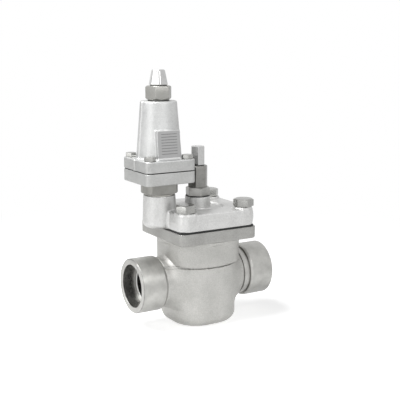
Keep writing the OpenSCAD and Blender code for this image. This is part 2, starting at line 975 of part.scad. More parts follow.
module spring_housing() {
    color(pale_steel)
        difference() {
            union() {
                at_pilot() {
                    translate([0, 0, pilot_up_z])
                        linear_extrude(pilot_upper) {
                            rounded_square(pilot_flange, pilot_corner);
                            for (x = [-1, 1])
                                translate([x*(pilot_flange/2 + rib_proud - rib_r), 0])
                                    circle(r=rib_r, $fn=coarse);
                        }
                    translate([0, 0, pilot_up_top])
                        rotate_extrude($fn=fine) {
                            polygon([[0, -over], [housing_r, -over], [housing_r, 0],
                                [housing_top_r + housing_edge*housing_taper, housing_height - housing_edge],
                                [housing_top_r - 0.8, housing_height - 0.7],
                                [housing_top_r - housing_edge, housing_height], [0, housing_height]]);
                        }
                    label_pad();
                    housing_seams();
                }
            }
            at_pilot() {
                disc(spring_bore_r, pilot_up_z - over, bore_step_z);
                disc(upper_bore_r, bore_step_z - over, ceiling_z);
                disc(setting_r, ceiling_z - over, housing_top);
                disc(gland_nipple_r, housing_top - gland_nipple, housing_top + over);
            }
            at_pilot_bolts()
                disc(pilot_bolt/2 + 0.4, pilot_up_z - over, pilot_up_top + over);
        }
}

module pilot_bolts() {
    color(bright_steel)
        at_pilot_bolts()
            hex_bolt(pilot_bolt/2 - thread_slip, pilot_bolt*5/3, pilot_bolt*0.68,
                pilot_low_z + 1.5, pilot_up_top, $turn);
}

module pilot_gland_gasket() {
    color(black_seal)
        at_pilot()
            ring(gland_collar_r - 0.3, gland_nipple_r, housing_top, housing_top + washer_t);
}

module pilot_gland() {
    top = pilot_gland_z + pilot_gland_hex;
    color(dull_steel)
        at_pilot()
            difference() {
                union() {
                    disc(gland_nipple_r - thread_slip, housing_top - gland_nipple, pilot_gland_z);
                    disc(gland_collar_r, housing_top + washer_t, pilot_gland_z + over);
                    hexagon(pilot_gland_flats, pilot_gland_z, top, pilot_gland_turn, true, true);
                    disc(pilot_neck_r - thread_slip, top - over, top + pilot_neck);
                }
                disc(setting_r + 0.3, housing_top - gland_nipple - over, housing_top + 4);
                disc(setting_neck_r, housing_top, top + pilot_neck + over);
                ring(setting_neck_r + 1.7, setting_neck_r - over, housing_top + 7, housing_top + 9.4);
            }
}

module spindle_seal() {
    gap = 1.7 + running;
    color(black_seal)
        at_pilot()
            oring(setting_neck_r - running + gap/2, gap/2 - seal_gap, housing_top + 8.2);
}

module pilot_cap_gasket() {
    color(black_seal)
        at_pilot()
            ring(pilot_cap_flats/2 - 0.4, pilot_neck_r, pilot_cap_z - cap_washer, pilot_cap_z);
}

// Seal cap: a hexagon that tapers to its rounded top
module pilot_cap() {
    color(bright_steel)
        at_pilot()
            difference() {
                translate([0, 0, pilot_cap_z])
                    rotate([0, 0, pilot_cap_turn])
                        intersection() {
                            cylinder(r1=pilot_cap_flats/sqrt(3), r2=pilot_cap_top_flats/sqrt(3),
                                h=pilot_cap_height, $fn=6);
                            chamfered_blank(pilot_cap_flats/sqrt(3), pilot_cap_top_flats/2*0.96,
                                pilot_cap_height, false, false);
                        }
                disc(pilot_neck_r, pilot_cap_z - over, pilot_cap_z + pilot_neck);
                disc(setting_neck_r + 0.3, pilot_cap_z, pilot_cap_z + 10.5);
            }
}

valve_body();
module_cylinder();
module_upper_oring();
module_lower_oring();
main_piston();
piston_ring();
piston_stem();
piston_nut();
throttle_cone();
valve_plate();
cone_nut();
main_spring();
cover_gasket();
top_cover();
cover_bolts();
bushing_gasket();
spindle_bushing();
spindle_foot();
manual_spindle();
spindle_packing();
gland_nut();
spindle_cap_gasket();
spindle_cap();
pilot_gasket();
pilot_oring();
pilot_body();
pilot_orifice();
diaphragm_gasket();
pilot_diaphragm();
pressure_plate();
setting_spring();
spring_plate();
setting_spindle();
spring_housing();
pilot_bolts();
pilot_gland_gasket();
pilot_gland();
spindle_seal();
pilot_cap_gasket();
pilot_cap();
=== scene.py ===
"""Studio scene of a pilot-operated pressure regulating valve with socket-weld ends.

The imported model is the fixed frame. Castings are meshed from distance fields, so that their
corners and junctions are rounded as cast ones are; turned and milled pieces are skinned from
rings; bolts and threads are laid out by geometry nodes. Sizes in the classes are millimetres in
the model's frame, and every mesh is written in metres.
"""

from __future__ import annotations

import logging
import math
from collections.abc import Callable, Iterable, Sequence
from dataclasses import dataclass, field
from enum import Enum

import bmesh
import bpy
import numpy as np
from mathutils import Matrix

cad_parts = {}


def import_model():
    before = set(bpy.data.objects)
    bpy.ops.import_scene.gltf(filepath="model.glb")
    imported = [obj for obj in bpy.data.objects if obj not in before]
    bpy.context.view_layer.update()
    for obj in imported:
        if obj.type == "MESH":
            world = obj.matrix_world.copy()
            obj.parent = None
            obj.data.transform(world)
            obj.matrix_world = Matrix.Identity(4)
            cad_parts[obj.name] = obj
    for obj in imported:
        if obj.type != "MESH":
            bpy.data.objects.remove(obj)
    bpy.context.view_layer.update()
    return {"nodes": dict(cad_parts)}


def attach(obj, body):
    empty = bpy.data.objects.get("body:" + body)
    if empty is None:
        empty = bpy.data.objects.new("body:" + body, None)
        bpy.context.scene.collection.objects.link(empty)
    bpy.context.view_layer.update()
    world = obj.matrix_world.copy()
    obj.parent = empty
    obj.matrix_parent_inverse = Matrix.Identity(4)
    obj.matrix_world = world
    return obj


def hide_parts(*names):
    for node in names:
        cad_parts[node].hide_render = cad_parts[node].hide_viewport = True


LOG = logging.getLogger("valve")
MM = 0.001
Field = Callable[[np.ndarray], np.ndarray]
Ring = np.ndarray
Colour = tuple[float, float, float]
Span = tuple[float, float, float]
Node = bpy.types.Node
Socket = bpy.types.NodeSocket


# Distance fields


def round_union(a: np.ndarray, b: np.ndarray, radius: float) -> np.ndarray:
    """Joins two distances with a concave fillet.

    Args:
        a: Distances to the first shape.
        b: Distances to the second shape.
        radius: Fillet radius.

    Returns:
        Distances to the joined shape.
    """
    if radius <= 0:
        return np.minimum(a, b)
    u = np.maximum(radius - a, 0)
    v = np.maximum(radius - b, 0)
    return np.maximum(radius, np.minimum(a, b)) - np.hypot(u, v)


def round_cut(a: np.ndarray, b: np.ndarray, radius: float) -> np.ndarray:
    """Keeps what two shapes share, with a convex round where they meet.

    Args:
        a: Distances to the first shape.
        b: Distances to the second shape.
        radius: Edge radius.

    Returns:
        Distances to the common shape.
    """
    if radius <= 0:
        return np.maximum(a, b)
    u = np.maximum(radius + a, 0)
    v = np.maximum(radius + b, 0)
    return np.minimum(-radius, np.maximum(a, b)) + np.hypot(u, v)


def plan_square(x: np.ndarray, y: np.ndarray, width: np.ndarray | float, corner: float) -> np.ndarray:
    """Distance in plan to a centred square with rounded corners.

    Args:
        x: First coordinate.
        y: Second coordinate.
        width: Side of the square.
        corner: Corner radius.

    Returns:
        Distances in the plane.
    """
    qx = np.abs(x) - (width / 2 - corner)
    qy = np.abs(y) - (width / 2 - corner)
    outside = np.hypot(np.maximum(qx, 0), np.maximum(qy, 0))
    return outside + np.minimum(np.maximum(qx, qy), 0) - corner


def slab(z: np.ndarray, low: float, high: float) -> np.ndarray:
    """Distance to the layer between two heights."""
    return np.maximum(low - z, z - high)


def drum(p: np.ndarray, x: float, y: float, radius: float, low: float, high: float,
         edge: float = 0.0) -> np.ndarray:
    """Distance to an upright cylinder with rounded edges.

    Args:
        p: Points, one row each.
        x: Axis place along X.
        y: Axis place along Y.
        radius: Cylinder radius.
        low: Lower end.
        high: Upper end.
        edge: Edge radius.

    Returns:
        Distances to the cylinder.
    """
    side = np.hypot(p[:, 0] - x, p[:, 1] - y) - radius
    return round_cut(side, slab(p[:, 2], low, high), edge)


def pipe(p: np.ndarray, start: Sequence[float], end: Sequence[float], radius: float) -> np.ndarray:
    """Distance to a straight cylinder between two points.

    Args:
        p: Points, one row each.
        start: First end of the axis.
        end: Second end of the axis.
        radius: Cylinder radius.

    Returns:
        Distances to the cylinder.
    """
    a, b = np.array(start, float), np.array(end, float)
    length = float(np.linalg.norm(b - a))
    along = (p - a) @ (b - a) / length
    off = np.linalg.norm(p - a - np.outer(along, (b - a) / length), axis=1)
    return np.maximum(off - radius, np.maximum(-along, along - length))


@dataclass(frozen=True)
class MeshData:
    """Vertices in millimetres, faces, and normals where they are known exactly."""

    verts: np.ndarray
    faces: np.ndarray | list
    normals: np.ndarray | None = None


def gradient(shape: Field, points: np.ndarray, reach: float = 0.02) -> np.ndarray:
    """Slope of a distance field at points.

    Args:
        shape: The field.
        points: Points, one row each.
        reach: Half the distance between samples.

    Returns:
        One gradient for each point.
    """
    out = np.empty_like(points)
    for axis in range(3):
        step = np.zeros(3)
        step[axis] = reach
        out[:, axis] = (shape(points + step) - shape(points - step)) / (2 * reach)
    return out


def mesh_field(shape: Field, low: Sequence[float], high: Sequence[float], step: float) -> MeshData:
    """Meshes the surface of a distance field by a net of one vertex in each crossed cell.

    Args:
        shape: The field, negative inside.
        low: Lowest corner of the room to search.
        high: Highest corner of the room to search.
        step: Cell size.

    Returns:
        The mesh, with its vertices drawn onto the surface.
    """
    low_corner = np.array(low, float)
    counts = np.ceil((np.array(high, float) - low_corner) / step).astype(int) + 1
    axes = [low_corner[i] + step * np.arange(counts[i]) for i in range(3)]
    grid = np.stack(np.meshgrid(*axes, indexing="ij"), -1)
    values = shape(grid.reshape(-1, 3)).reshape(counts)
    inside = values < 0
    total = np.zeros((*(counts - 1), 3))
    hits = np.zeros(counts - 1, int)
    crossings = []
    for axis in range(3):
        near = [slice(None)] * 3
        far = [slice(None)] * 3
        near[axis], far[axis] = slice(0, -1), slice(1, None)
        near_t, far_t = tuple(near), tuple(far)
        crossed = inside[near_t] != inside[far_t]
        share = np.where(crossed, values[near_t] / np.where(crossed, values[near_t] - values[far_t], 1), 0)
        point = grid[near_t].copy()
        point[..., axis] += share * step
        point *= crossed[..., None]
        others = [i for i in range(3) if i != axis]
        for first in (0, 1):
            for second in (0, 1):
                window = [slice(None)] * 3
                for other, shift in zip(others, (first, second)):
                    window[other] = slice(shift, shift + counts[other] - 1)
                total += point[tuple(window)]
                hits += crossed[tuple(window)]
        crossings.append((axis, others, crossed, inside[near_t]))
    ids = np.full(counts - 1, -1)
    used = hits > 0
    ids[used] = np.arange(int(used.sum()))
    verts = total[used] / hits[used][:, None]
    faces = []
    for axis, others, crossed, starts_inside in crossings:
        at = np.argwhere(crossed)
        keep = np.all([(at[:, i] > 0) & (at[:, i] < counts[i] - 1) for i in others], axis=0)
        at = at[keep]
        corner = []
        for first, second in ((1, 1), (0, 1), (0, 0), (1, 0)):
            cell = at.copy()
            cell[:, others[0]] -= first
            cell[:, others[1]] -= second
            corner.append(ids[cell[:, 0], cell[:, 1], cell[:, 2]])
        quads = np.stack(corner, 1)
        flip = starts_inside[at[:, 0], at[:, 1], at[:, 2]] != (axis != 1)
        quads[flip] = quads[flip][:, ::-1]
        faces.append(quads)
    verts = settle(shape, verts, 0.45 * step)
    slope = gradient(shape, verts)
    normals = slope / np.maximum(np.linalg.norm(slope, axis=1), 1e-9)[:, None]
    return MeshData(verts, np.concatenate(faces), normals)


def settle(shape: Field, verts: np.ndarray, reach: float) -> np.ndarray:
    """Draws vertices onto a field's surface.

    Args:
        shape: The field.
        verts: Vertices near the surface.
        reach: The furthest that a vertex moves in one step.

    Returns:
        The moved vertices.
    """
    for _ in range(4):
        slope = gradient(shape, verts)
        steepness = np.maximum((slope**2).sum(1), 0.05)
        move = shape(verts)[:, None] * slope / steepness[:, None]
        size = np.maximum(np.linalg.norm(move, axis=1), 1e-9)
        verts = verts - move * np.minimum(1, reach / size)[:, None]
    return verts


# Rings


def fillet(profile: Sequence[Sequence[float]], steps: int = 4) -> list[tuple[float, float]]:
    """Rounds the corners of an open profile.

    Args:
        profile: Points as (radius, height) or (radius, height, corner radius).
        steps: Segments in each arc.

    Returns:
        Points as (radius, height).
    """
    out: list[tuple[float, float]] = []
    for i, point in enumerate(profile):
        corner = point[2] if len(point) > 2 else 0.0
        here = np.array(point[:2], float)
        if corner <= 0 or i in (0, len(profile) - 1):
            out.append((float(here[0]), float(here[1])))
            continue
        to_last = np.array(profile[i - 1][:2], float) - here
        to_next = np.array(profile[i + 1][:2], float) - here
        reach = min(np.linalg.norm(to_last), np.linalg.norm(to_next)) * 0.49
        to_last, to_next = to_last / np.linalg.norm(to_last), to_next / np.linalg.norm(to_next)
        half = math.acos(float(np.clip(to_last @ to_next, -1, 1))) / 2
        cut = min(corner / max(math.tan(half), 1e-6), reach)
        start, end = here + to_last * cut, here + to_next * cut
        for k in range(steps + 1):
            t = k / steps
            spot = (1 - t) ** 2 * start + 2 * t * (1 - t) * here + t**2 * end
            out.append((float(spot[0]), float(spot[1])))
    return out


def circle_plan(count: int) -> np.ndarray:
    """Unit circle as a plan outline.

    Args:
        count: Number of points.

    Returns:
        Points, one row each.
    """
    angles = np.linspace(0, 2 * math.pi, count, endpoint=False)
    return np.stack([np.cos(angles), np.sin(angles)], 1)


def hexagon_plan(flats: float, turn: float, corner: float = 0.35, arc: int = 3, side: int = 8) -> np.ndarray:
    """Outline of a hexagon with small corner rounds.

    Args:
        flats: Width across flats.
        turn: Turn of the first corner, in degrees.
        corner: Corner radius.
        arc: Segments in each corner.
        side: Segments along each flat.

    Returns:
        Points, one row each.
    """
    inner = flats / math.sqrt(3) - corner / math.cos(math.radians(30))

    def rim(centre: float, facing: float) -> tuple[float, float]:
        """Point of a corner's round, from the corner's angle and the point's own."""
        c, a = math.radians(centre), math.radians(facing)
        return inner * math.cos(c) + corner * math.cos(a), inner * math.sin(c) + corner * math.sin(a)

    shares = (0.03, *np.linspace(0.12, 0.88, side - 3), 0.97)
    points = []
    for k in range(6):
        points.extend(rim(turn + 60 * k, turn + 60 * k - 30 + 60 * j / arc) for j in range(arc + 1))
        last = np.array(points[-1])
        nearest = np.array(rim(turn + 60 * (k + 1), turn + 60 * k + 30))
        points.extend(tuple(last + (nearest - last) * t) for t in shares)
    return np.array(points)


@dataclass
class RingStack:
    """Rings of equal count, from which a milled or turned piece is skinned.

    Attributes:
        plan: Outline that the rings keep to.
        x: Axis place along X.
        y: Axis place along Y.
        rings: Rings so far.
    """

    plan: np.ndarray
    x: float = 0.0
    y: float = 0.0
    rings: list[Ring] = field(default_factory=list)

    def _add(self, points: np.ndarray, heights: np.ndarray | float) -> RingStack:
        """Adds one ring at the given heights."""
        ring = np.empty((len(points), 3))
        ring[:, 0], ring[:, 1], ring[:, 2] = points[:, 0] + self.x, points[:, 1] + self.y, heights
        self.rings.append(ring)
        return self

    def outline(self, z: float, scale: float = 1.0) -> RingStack:
        """Adds the plan's own outline at a height."""
        return self._add(self.plan * scale, z)

    def circle(self, radius: float, z: float) -> RingStack:
        """Adds a circle that keeps the plan's directions."""
        lengths = np.linalg.norm(self.plan, axis=1)
        return self._add(self.plan / lengths[:, None] * radius, z)

    def turned(self, profile: Iterable[tuple[float, float]]) -> RingStack:
        """Adds a circle for each (radius, height)."""
        for radius, z in profile:
            self.circle(max(radius, 1e-4), z)
        return self

    def chamfered(self, top: float, reach: float, up: bool, soft: float = 0.14) -> RingStack:
        """Adds the curved edge that a 30 degree chamfer cuts on the outline, then its circle.

        Args:
            top: Height of the flat end.
            reach: Radius where the chamfer meets the flat end.
            up: True where the flat end is the upper one.
            soft: Size of the worn edge.

        Returns:
            The stack itself.
        """
        sign = 1 if up else -1
        radii = np.linalg.norm(self.plan, axis=1)
        drop = np.maximum(radii - reach, 0) * math.tan(math.radians(30))
        unit = self.plan / radii[:, None]
        side = [(self.plan, top - sign * (drop + soft)),
                (unit * (radii - 0.3 * soft)[:, None], top - sign * drop)]
        cone = [(unit * (radii - soft)[:, None], top - sign * np.maximum(drop - 0.6 * soft, 0)),
                (unit * (reach + soft), np.full(len(radii), top - sign * 0.5 * soft)),
                (unit * (reach - soft), np.full(len(radii), top))]
        order = side + cone if up else (side + cone)[::-1]
        for points, heights in order:
            self._add(points, heights)
        return self

    def mesh(self, loop: bool = True) -> MeshData:
        """Skins the rings.

        Args:
            loop: True to join the last ring to the first, False to close both ends with a fan.

        Returns:
            The closed mesh.
        """
        count = len(self.plan)
        verts = np.concatenate(self.rings)
        total = len(self.rings)
        faces = []
        k = np.arange(count)
        for i in range(total if loop else total - 1):
            a, b = i * count, ((i + 1) % total) * count
            faces.append(np.stack([a + k, a + (k + 1) % count, b + (k + 1) % count, b + k], 1))
        quads = [list(map(int, q)) for q in np.concatenate(faces)]
        if not loop:
            quads.append([int(v) for v in k[::-1]])
            quads.append([int(v) for v in (total - 1) * count + k])
        return MeshData(verts, quads)


# Blender objects


def stand(name: str, mesh: bpy.types.Mesh) -> bpy.types.Object:
    """Puts a mesh into the scene as an object at the origin."""
    obj = bpy.data.objects.new(name, mesh)
    bpy.context.scene.collection.objects.link(obj)
    return obj


def make_object(name: str, data: MeshData, sharp: float = 32.0) -> bpy.types.Object:
    """Makes a mesh object whose place is in its mesh.

    Args:
        name: Name of the piece.
        data: Its mesh in millimetres.
        sharp: Angle above which an edge stays crisp, in degrees.

    Returns:
        The object, linked to the scene.
    """
    mesh = bpy.data.meshes.new(name)
    faces = data.faces.tolist() if isinstance(data.faces, np.ndarray) else data.faces
    mesh.from_pydata((data.verts * MM).tolist(), [], faces)
    mesh.validate()
    mesh.update()
    mesh.shade_smooth()
    if data.normals is None:
        tidy_mesh(mesh)
        mesh.set_sharp_from_angle(angle=math.radians(sharp))
    elif len(mesh.vertices) == len(data.normals):
        mesh.normals_split_custom_set_from_vertices(data.normals.tolist())
    return stand(name, mesh)


def tidy_mesh(mesh: bpy.types.Mesh) -> None:
    """Merges doubles and turns the faces outwards."""
    work = bmesh.new()
    work.from_mesh(mesh)
    bmesh.ops.remove_doubles(work, verts=work.verts, dist=2e-7)
    bmesh.ops.recalc_face_normals(work, faces=work.faces)
    work.to_mesh(mesh)
    work.free()


# Finishes


PALE = (0.82, 0.82, 0.82, 1.0)
WHITE = (1.0, 1.0, 1.0, 1.0)


class Nodes:
    """Adds and wires the nodes of one tree."""

    def __init__(self, tree: bpy.types.NodeTree) -> None:
        """Empties the tree."""
        self.tree = tree
        tree.nodes.clear()

    def node(self, kind: str, *feeds: object, **settings: object) -> Node:
        """Adds a node.

        Args:
            kind: Node type.
            *feeds: Sockets or constants for the first inputs in order, None to leave one alone.
            **settings: Properties, or inputs by name with _ for a space.

        Returns:
            The node.
        """
        made = self.tree.nodes.new(kind)
        fed = dict(enumerate(feeds))
        for key, value in settings.items():
            if hasattr(made, key):
                setattr(made, key, value)
            else:
                fed[key.replace("_", " ")] = value
        for key, value in fed.items():
            if isinstance(value, Socket):
                self.tree.links.new(value, made.inputs[key])
            elif value is not None:
                made.inputs[key].default_value = value
        return made

    def math(self, operation: str, *feeds: object) -> Socket:
        """Result of a math node."""
        return self.node("ShaderNodeMath", *feeds, operation=operation).outputs[0]

    def vector(self, operation: str, *feeds: object, **settings: object) -> Socket:
        """Result of a vector math node, a number where the operation gives one."""
        made = self.node("ShaderNodeVectorMath", *feeds, operation=operation, **settings)
        return made.outputs["Value" if operation in ("LENGTH", "DOT_PRODUCT") else "Vector"]

    def looked_at(self) -> Socket:
        """1 for camera, glossy and transmission rays, 0 for all other light."""
        path = self.node("ShaderNodeLightPath").outputs
        through = self.math("MAXIMUM", path["Is Glossy Ray"], path["Is Transmission Ray"])
        return self.math("MAXIMUM", path["Is Camera Ray"], through)


class Graph(Nodes):
    """Builds one material's node tree."""

    def __init__(self, name: str) -> None:
        """Starts an empty material."""
        self.material = bpy.data.materials.new(name)
        self.material.use_nodes = True
        super().__init__(self.material.node_tree)

    def object_mm(self) -> Socket:
        """Object coordinates in millimetres."""
        coords = self.node("ShaderNodeTexCoord").outputs["Object"]
        return self.vector("SCALE", coords, Scale=1 / MM)

    def noise(self, where: Socket, scale: float, detail: float = 3.0, rough: float = 0.55) -> Socket:
        """Noise from 0 to 1 at a place.

        Args:
            where: Coordinates.
            scale: Bumps for each unit.
            detail: Octaves.
            rough: Share of the finer octaves.

        Returns:
            The noise value.
        """
        made = self.node("ShaderNodeTexNoise", Vector=where, Scale=scale, Detail=detail, Roughness=rough)
        return made.outputs["Fac"]

    def blend(self, share: float, first: Socket, second: Socket) -> Socket:
        """Mixes two values, with a share of the second."""
        return self.node("ShaderNodeMix", data_type="FLOAT", Factor=share, A=first, B=second).outputs[0]

    def ramp(self, value: Socket, stops: Sequence[tuple[float, Sequence[float]]]) -> Socket:
        """Maps a value to a colour.

        Args:
            value: From 0 to 1.
            stops: Places and colours.

        Returns:
            The colour.
        """
        made = self.node("ShaderNodeValToRGB", value)
        elements = made.color_ramp.elements
        while len(elements) < len(stops):
            elements.new(0.5)
        for element, (place, colour) in zip(elements, stops):
            element.position = place
            element.color = (*colour, 1.0)
        return made.outputs["Color"]

    def between(self, value: Socket, low: float, high: float) -> Socket:
        """Maps the middle of 0 to 1, where noise lies, to a range."""
        return self.node("ShaderNodeMapRange", value, 0.3, 0.7, low, high).outputs["Result"]

    def bump(self, height: Socket, depth: float, under: Socket | None = None) -> Socket:
        """Turns a height into a normal.

        Args:
            height: From 0 to 1.
            depth: Height of 1, in millimetres.
            under: Normal of a coarser bump below.

        Returns:
            The normal.
        """
        made = self.node("ShaderNodeBump", Strength=1.0, Distance=depth * MM, Height=height, Normal=under)
        return made.outputs["Normal"]

    def finish(self, **inputs: object) -> bpy.types.Material:
        """Ends the tree in a principled shader.

        Args:
            **inputs: Shader inputs by name with _ for a space.

        Returns:
            The material.
        """
        shader = self.node("ShaderNodeBsdfPrincipled", **inputs)
        self.node("ShaderNodeOutputMaterial", shader.outputs["BSDF"])
        return self.material

    def glow(self, strength: float) -> Socket:
        """White light of one strength."""
        return self.node("ShaderNodeEmission", Color=WHITE, Strength=strength).outputs[0]

    def background(self, shown: Socket) -> bpy.types.Material:
        """Ends the tree in a shader for what is looked at, and pale paint for all other light.

        Args:
            shown: Shader for camera, glossy and transmission rays.

        Returns:
            The material.
        """
        paint = self.node("ShaderNodeBsdfDiffuse", Color=PALE).outputs[0]
        mix = self.node("ShaderNodeMixShader", self.looked_at(), paint, shown)
        self.node("ShaderNodeOutputMaterial", mix.outputs[0])
        return self.material


@dataclass(frozen=True)
class CastFinish:
    """Blasted cast stainless steel: fine grain, soft unevenness, faint clouds.

    Attributes:
        name: Material name.
        dark: Darkest tone.
        light: Lightest tone.
        metallic: How much it reflects as metal.
        roughness: Lowest roughness.
        grain: Depth of the blasted grain, in millimetres.
        waves: Depth of the casting's unevenness, in millimetres.
    """

    name: str
    dark: Colour
    light: Colour
    metallic: float = 0.9
    roughness: float = 0.42
    grain: float = 0.08
    waves: float = 0.12

    def build(self) -> bpy.types.Material:
        """Builds the material."""
        g = Graph(self.name)
        where = g.object_mm()
        clouds = g.noise(where, 0.035, 2.0)
        blotches = g.noise(where, 0.22, 4.0, 0.6)
        grain = g.noise(where, 1.1, 4.0, 0.7)
        peppered = g.blend(0.5, g.blend(0.45, clouds, blotches), grain)
        colour = g.ramp(peppered, [(0.41, self.dark), (0.59, self.light)])
        rough = g.between(blotches, self.roughness, self.roughness + 0.16)
        waves = g.bump(g.noise(where, 0.16, 3.0), self.waves)
        normal = g.bump(grain, self.grain, waves)
        return g.finish(Base_Color=colour, Metallic=self.metallic, Roughness=rough, Normal=normal)


@dataclass(frozen=True)
class RuledFinish:
    """Printed metal plate with plain ruled lines and no lettering.

    Attributes:
        name: Material name.
        plate: Colour of the plate.
        ink: Colour of the lines.
        centre: Middle of the lines along X, in millimetres.
        low: Height of the lowest line, in millimetres.
        high: Height that the lines stay below, in millimetres.
        reach: Half the length of a line, in millimetres.
        pitch: Distance between lines, in millimetres.
        stroke: Height of a line, in millimetres.
    """

    name: str
    plate: Colour
    ink: Colour
    centre: float
    low: float
    high: float
    reach: float = 8.6
    pitch: float = 2.7
    stroke: float = 0.75

    def build(self) -> bpy.types.Material:
        """Builds the material."""
        g = Graph(self.name)
        where = g.object_mm()
        place = g.node("ShaderNodeSeparateXYZ", where).outputs
        off = g.math("ABSOLUTE", g.math("SUBTRACT", place["X"], self.centre))
        above = g.math("SUBTRACT", place["Z"], self.low)
        inked = g.math("LESS_THAN", off, self.reach)
        for test in (g.math("LESS_THAN", place["Z"], self.high), g.math("GREATER_THAN", place["Z"], self.low),
                     g.math("LESS_THAN", g.math("MODULO", above, self.pitch), self.stroke)):
            inked = g.math("MULTIPLY", inked, test)
        wear = g.noise(where, 1.6, 4.0, 0.7)
        faded = g.math("MULTIPLY", inked, g.between(wear, 0.35, 0.8))
        clean = g.ramp(wear, [(0.35, tuple(0.94 * c for c in self.plate)), (0.65, self.plate)])
        skip = [None] * 5
        colour = g.node("ShaderNodeMix", faded, *skip, clean, (*self.ink, 1.0), data_type="RGBA").outputs[2]
        return g.finish(Base_Color=colour, Metallic=0.6, Roughness=g.between(wear, 0.4, 0.52),
                        Normal=g.bump(wear, 0.01))


@dataclass(frozen=True)
class TurnedFinish:
    """Machined steel with fine marks round an upright or level axis.

    Attributes:
        name: Material name.
        dark: Darkest tone.
        light: Lightest tone.
        axis: Direction of the turning axis.
        centre: A point of the axis, in millimetres.
        metallic: How much it reflects as metal.
        roughness: Lowest roughness.
        marks: Depth of the tool marks, in millimetres.
        pitch: Tool marks for each millimetre.
    """

    name: str
    dark: Colour
    light: Colour
    axis: tuple[float, float, float] = (0.0, 0.0, 1.0)
    centre: tuple[float, float, float] = (0.0, 0.0, 0.0)
    metallic: float = 0.9
    roughness: float = 0.26
    marks: float = 0.012
    pitch: float = 3.0

    def build(self) -> bpy.types.Material:
        """Builds the material."""
        g = Graph(self.name)
        where = g.object_mm()
        offset = g.vector("SUBTRACT", where, self.centre)
        along = g.vector("DOT_PRODUCT", offset, self.axis)
        radius = g.vector("LENGTH", g.vector("CROSS_PRODUCT", offset, self.axis))
        pair = g.node("ShaderNodeCombineXYZ", radius, along)
        rings = g.noise(pair.outputs[0], self.pitch, 4.0, 0.7)
        clouds = g.noise(where, 0.12, 3.0)
        stains = g.noise(where, 0.9, 4.0, 0.6)
        colour = g.ramp(g.blend(0.4, clouds, rings), [(0.36, self.dark), (0.64, self.light)])
        rough = g.between(stains, self.roughness, self.roughness + 0.14)
        scuffs = g.bump(stains, self.marks)
        normal = g.bump(rings, self.marks, scuffs)
        return g.finish(Base_Color=colour, Metallic=self.metallic, Roughness=rough, Normal=normal)


@dataclass(frozen=True)
class PlatedFinish:
    """Bright plated steel with faint smudges.

    Attributes:
        name: Material name.
        tone: Colour of the plating.
        roughness: Lowest roughness.
    """

    name: str
    tone: Colour
    roughness: float = 0.08

    def build(self) -> bpy.types.Material:
        """Builds the material."""
        g = Graph(self.name)
        where = g.object_mm()
        smudge = g.noise(where, 0.35, 5.0, 0.6)
        fine = g.noise(where, 5.0, 3.0)
        dull = tuple(0.9 * c for c in self.tone)
        colour = g.ramp(smudge, [(0.35, dull), (0.6, self.tone)])
        rough = g.between(smudge, self.roughness, self.roughness + 0.06)
        waves = g.bump(g.noise(where, 0.08, 1.0), 0.006)
        normal = g.bump(fine, 0.0003, waves)
        return g.finish(Base_Color=colour, Metallic=1.0, Roughness=rough, Normal=normal)


@dataclass(frozen=True)
class SealFinish:
    """Gasket, rubber or seal plastic with a matt, slightly fibrous face.

    Attributes:
        name: Material name.
        dark: Darkest tone.
        light: Lightest tone.
        roughness: Lowest roughness.
        fibre: Depth of the fibres, in millimetres.
    """

    name: str
    dark: Colour
    light: Colour
    roughness: float = 0.6
    fibre: float = 0.04

    def build(self) -> bpy.types.Material:
        """Builds the material."""
        g = Graph(self.name)
        where = g.object_mm()
        fibres = g.noise(where, 1.8, 6.0, 0.7)
        clouds = g.noise(where, 0.2, 2.0)
        colour = g.ramp(g.blend(0.5, clouds, fibres), [(0.35, self.dark), (0.65, self.light)])
        rough = g.between(clouds, self.roughness, self.roughness + 0.2)
        return g.finish(Base_Color=colour, Roughness=rough, Normal=g.bump(fibres, self.fibre))


PILOT_X = -44.188


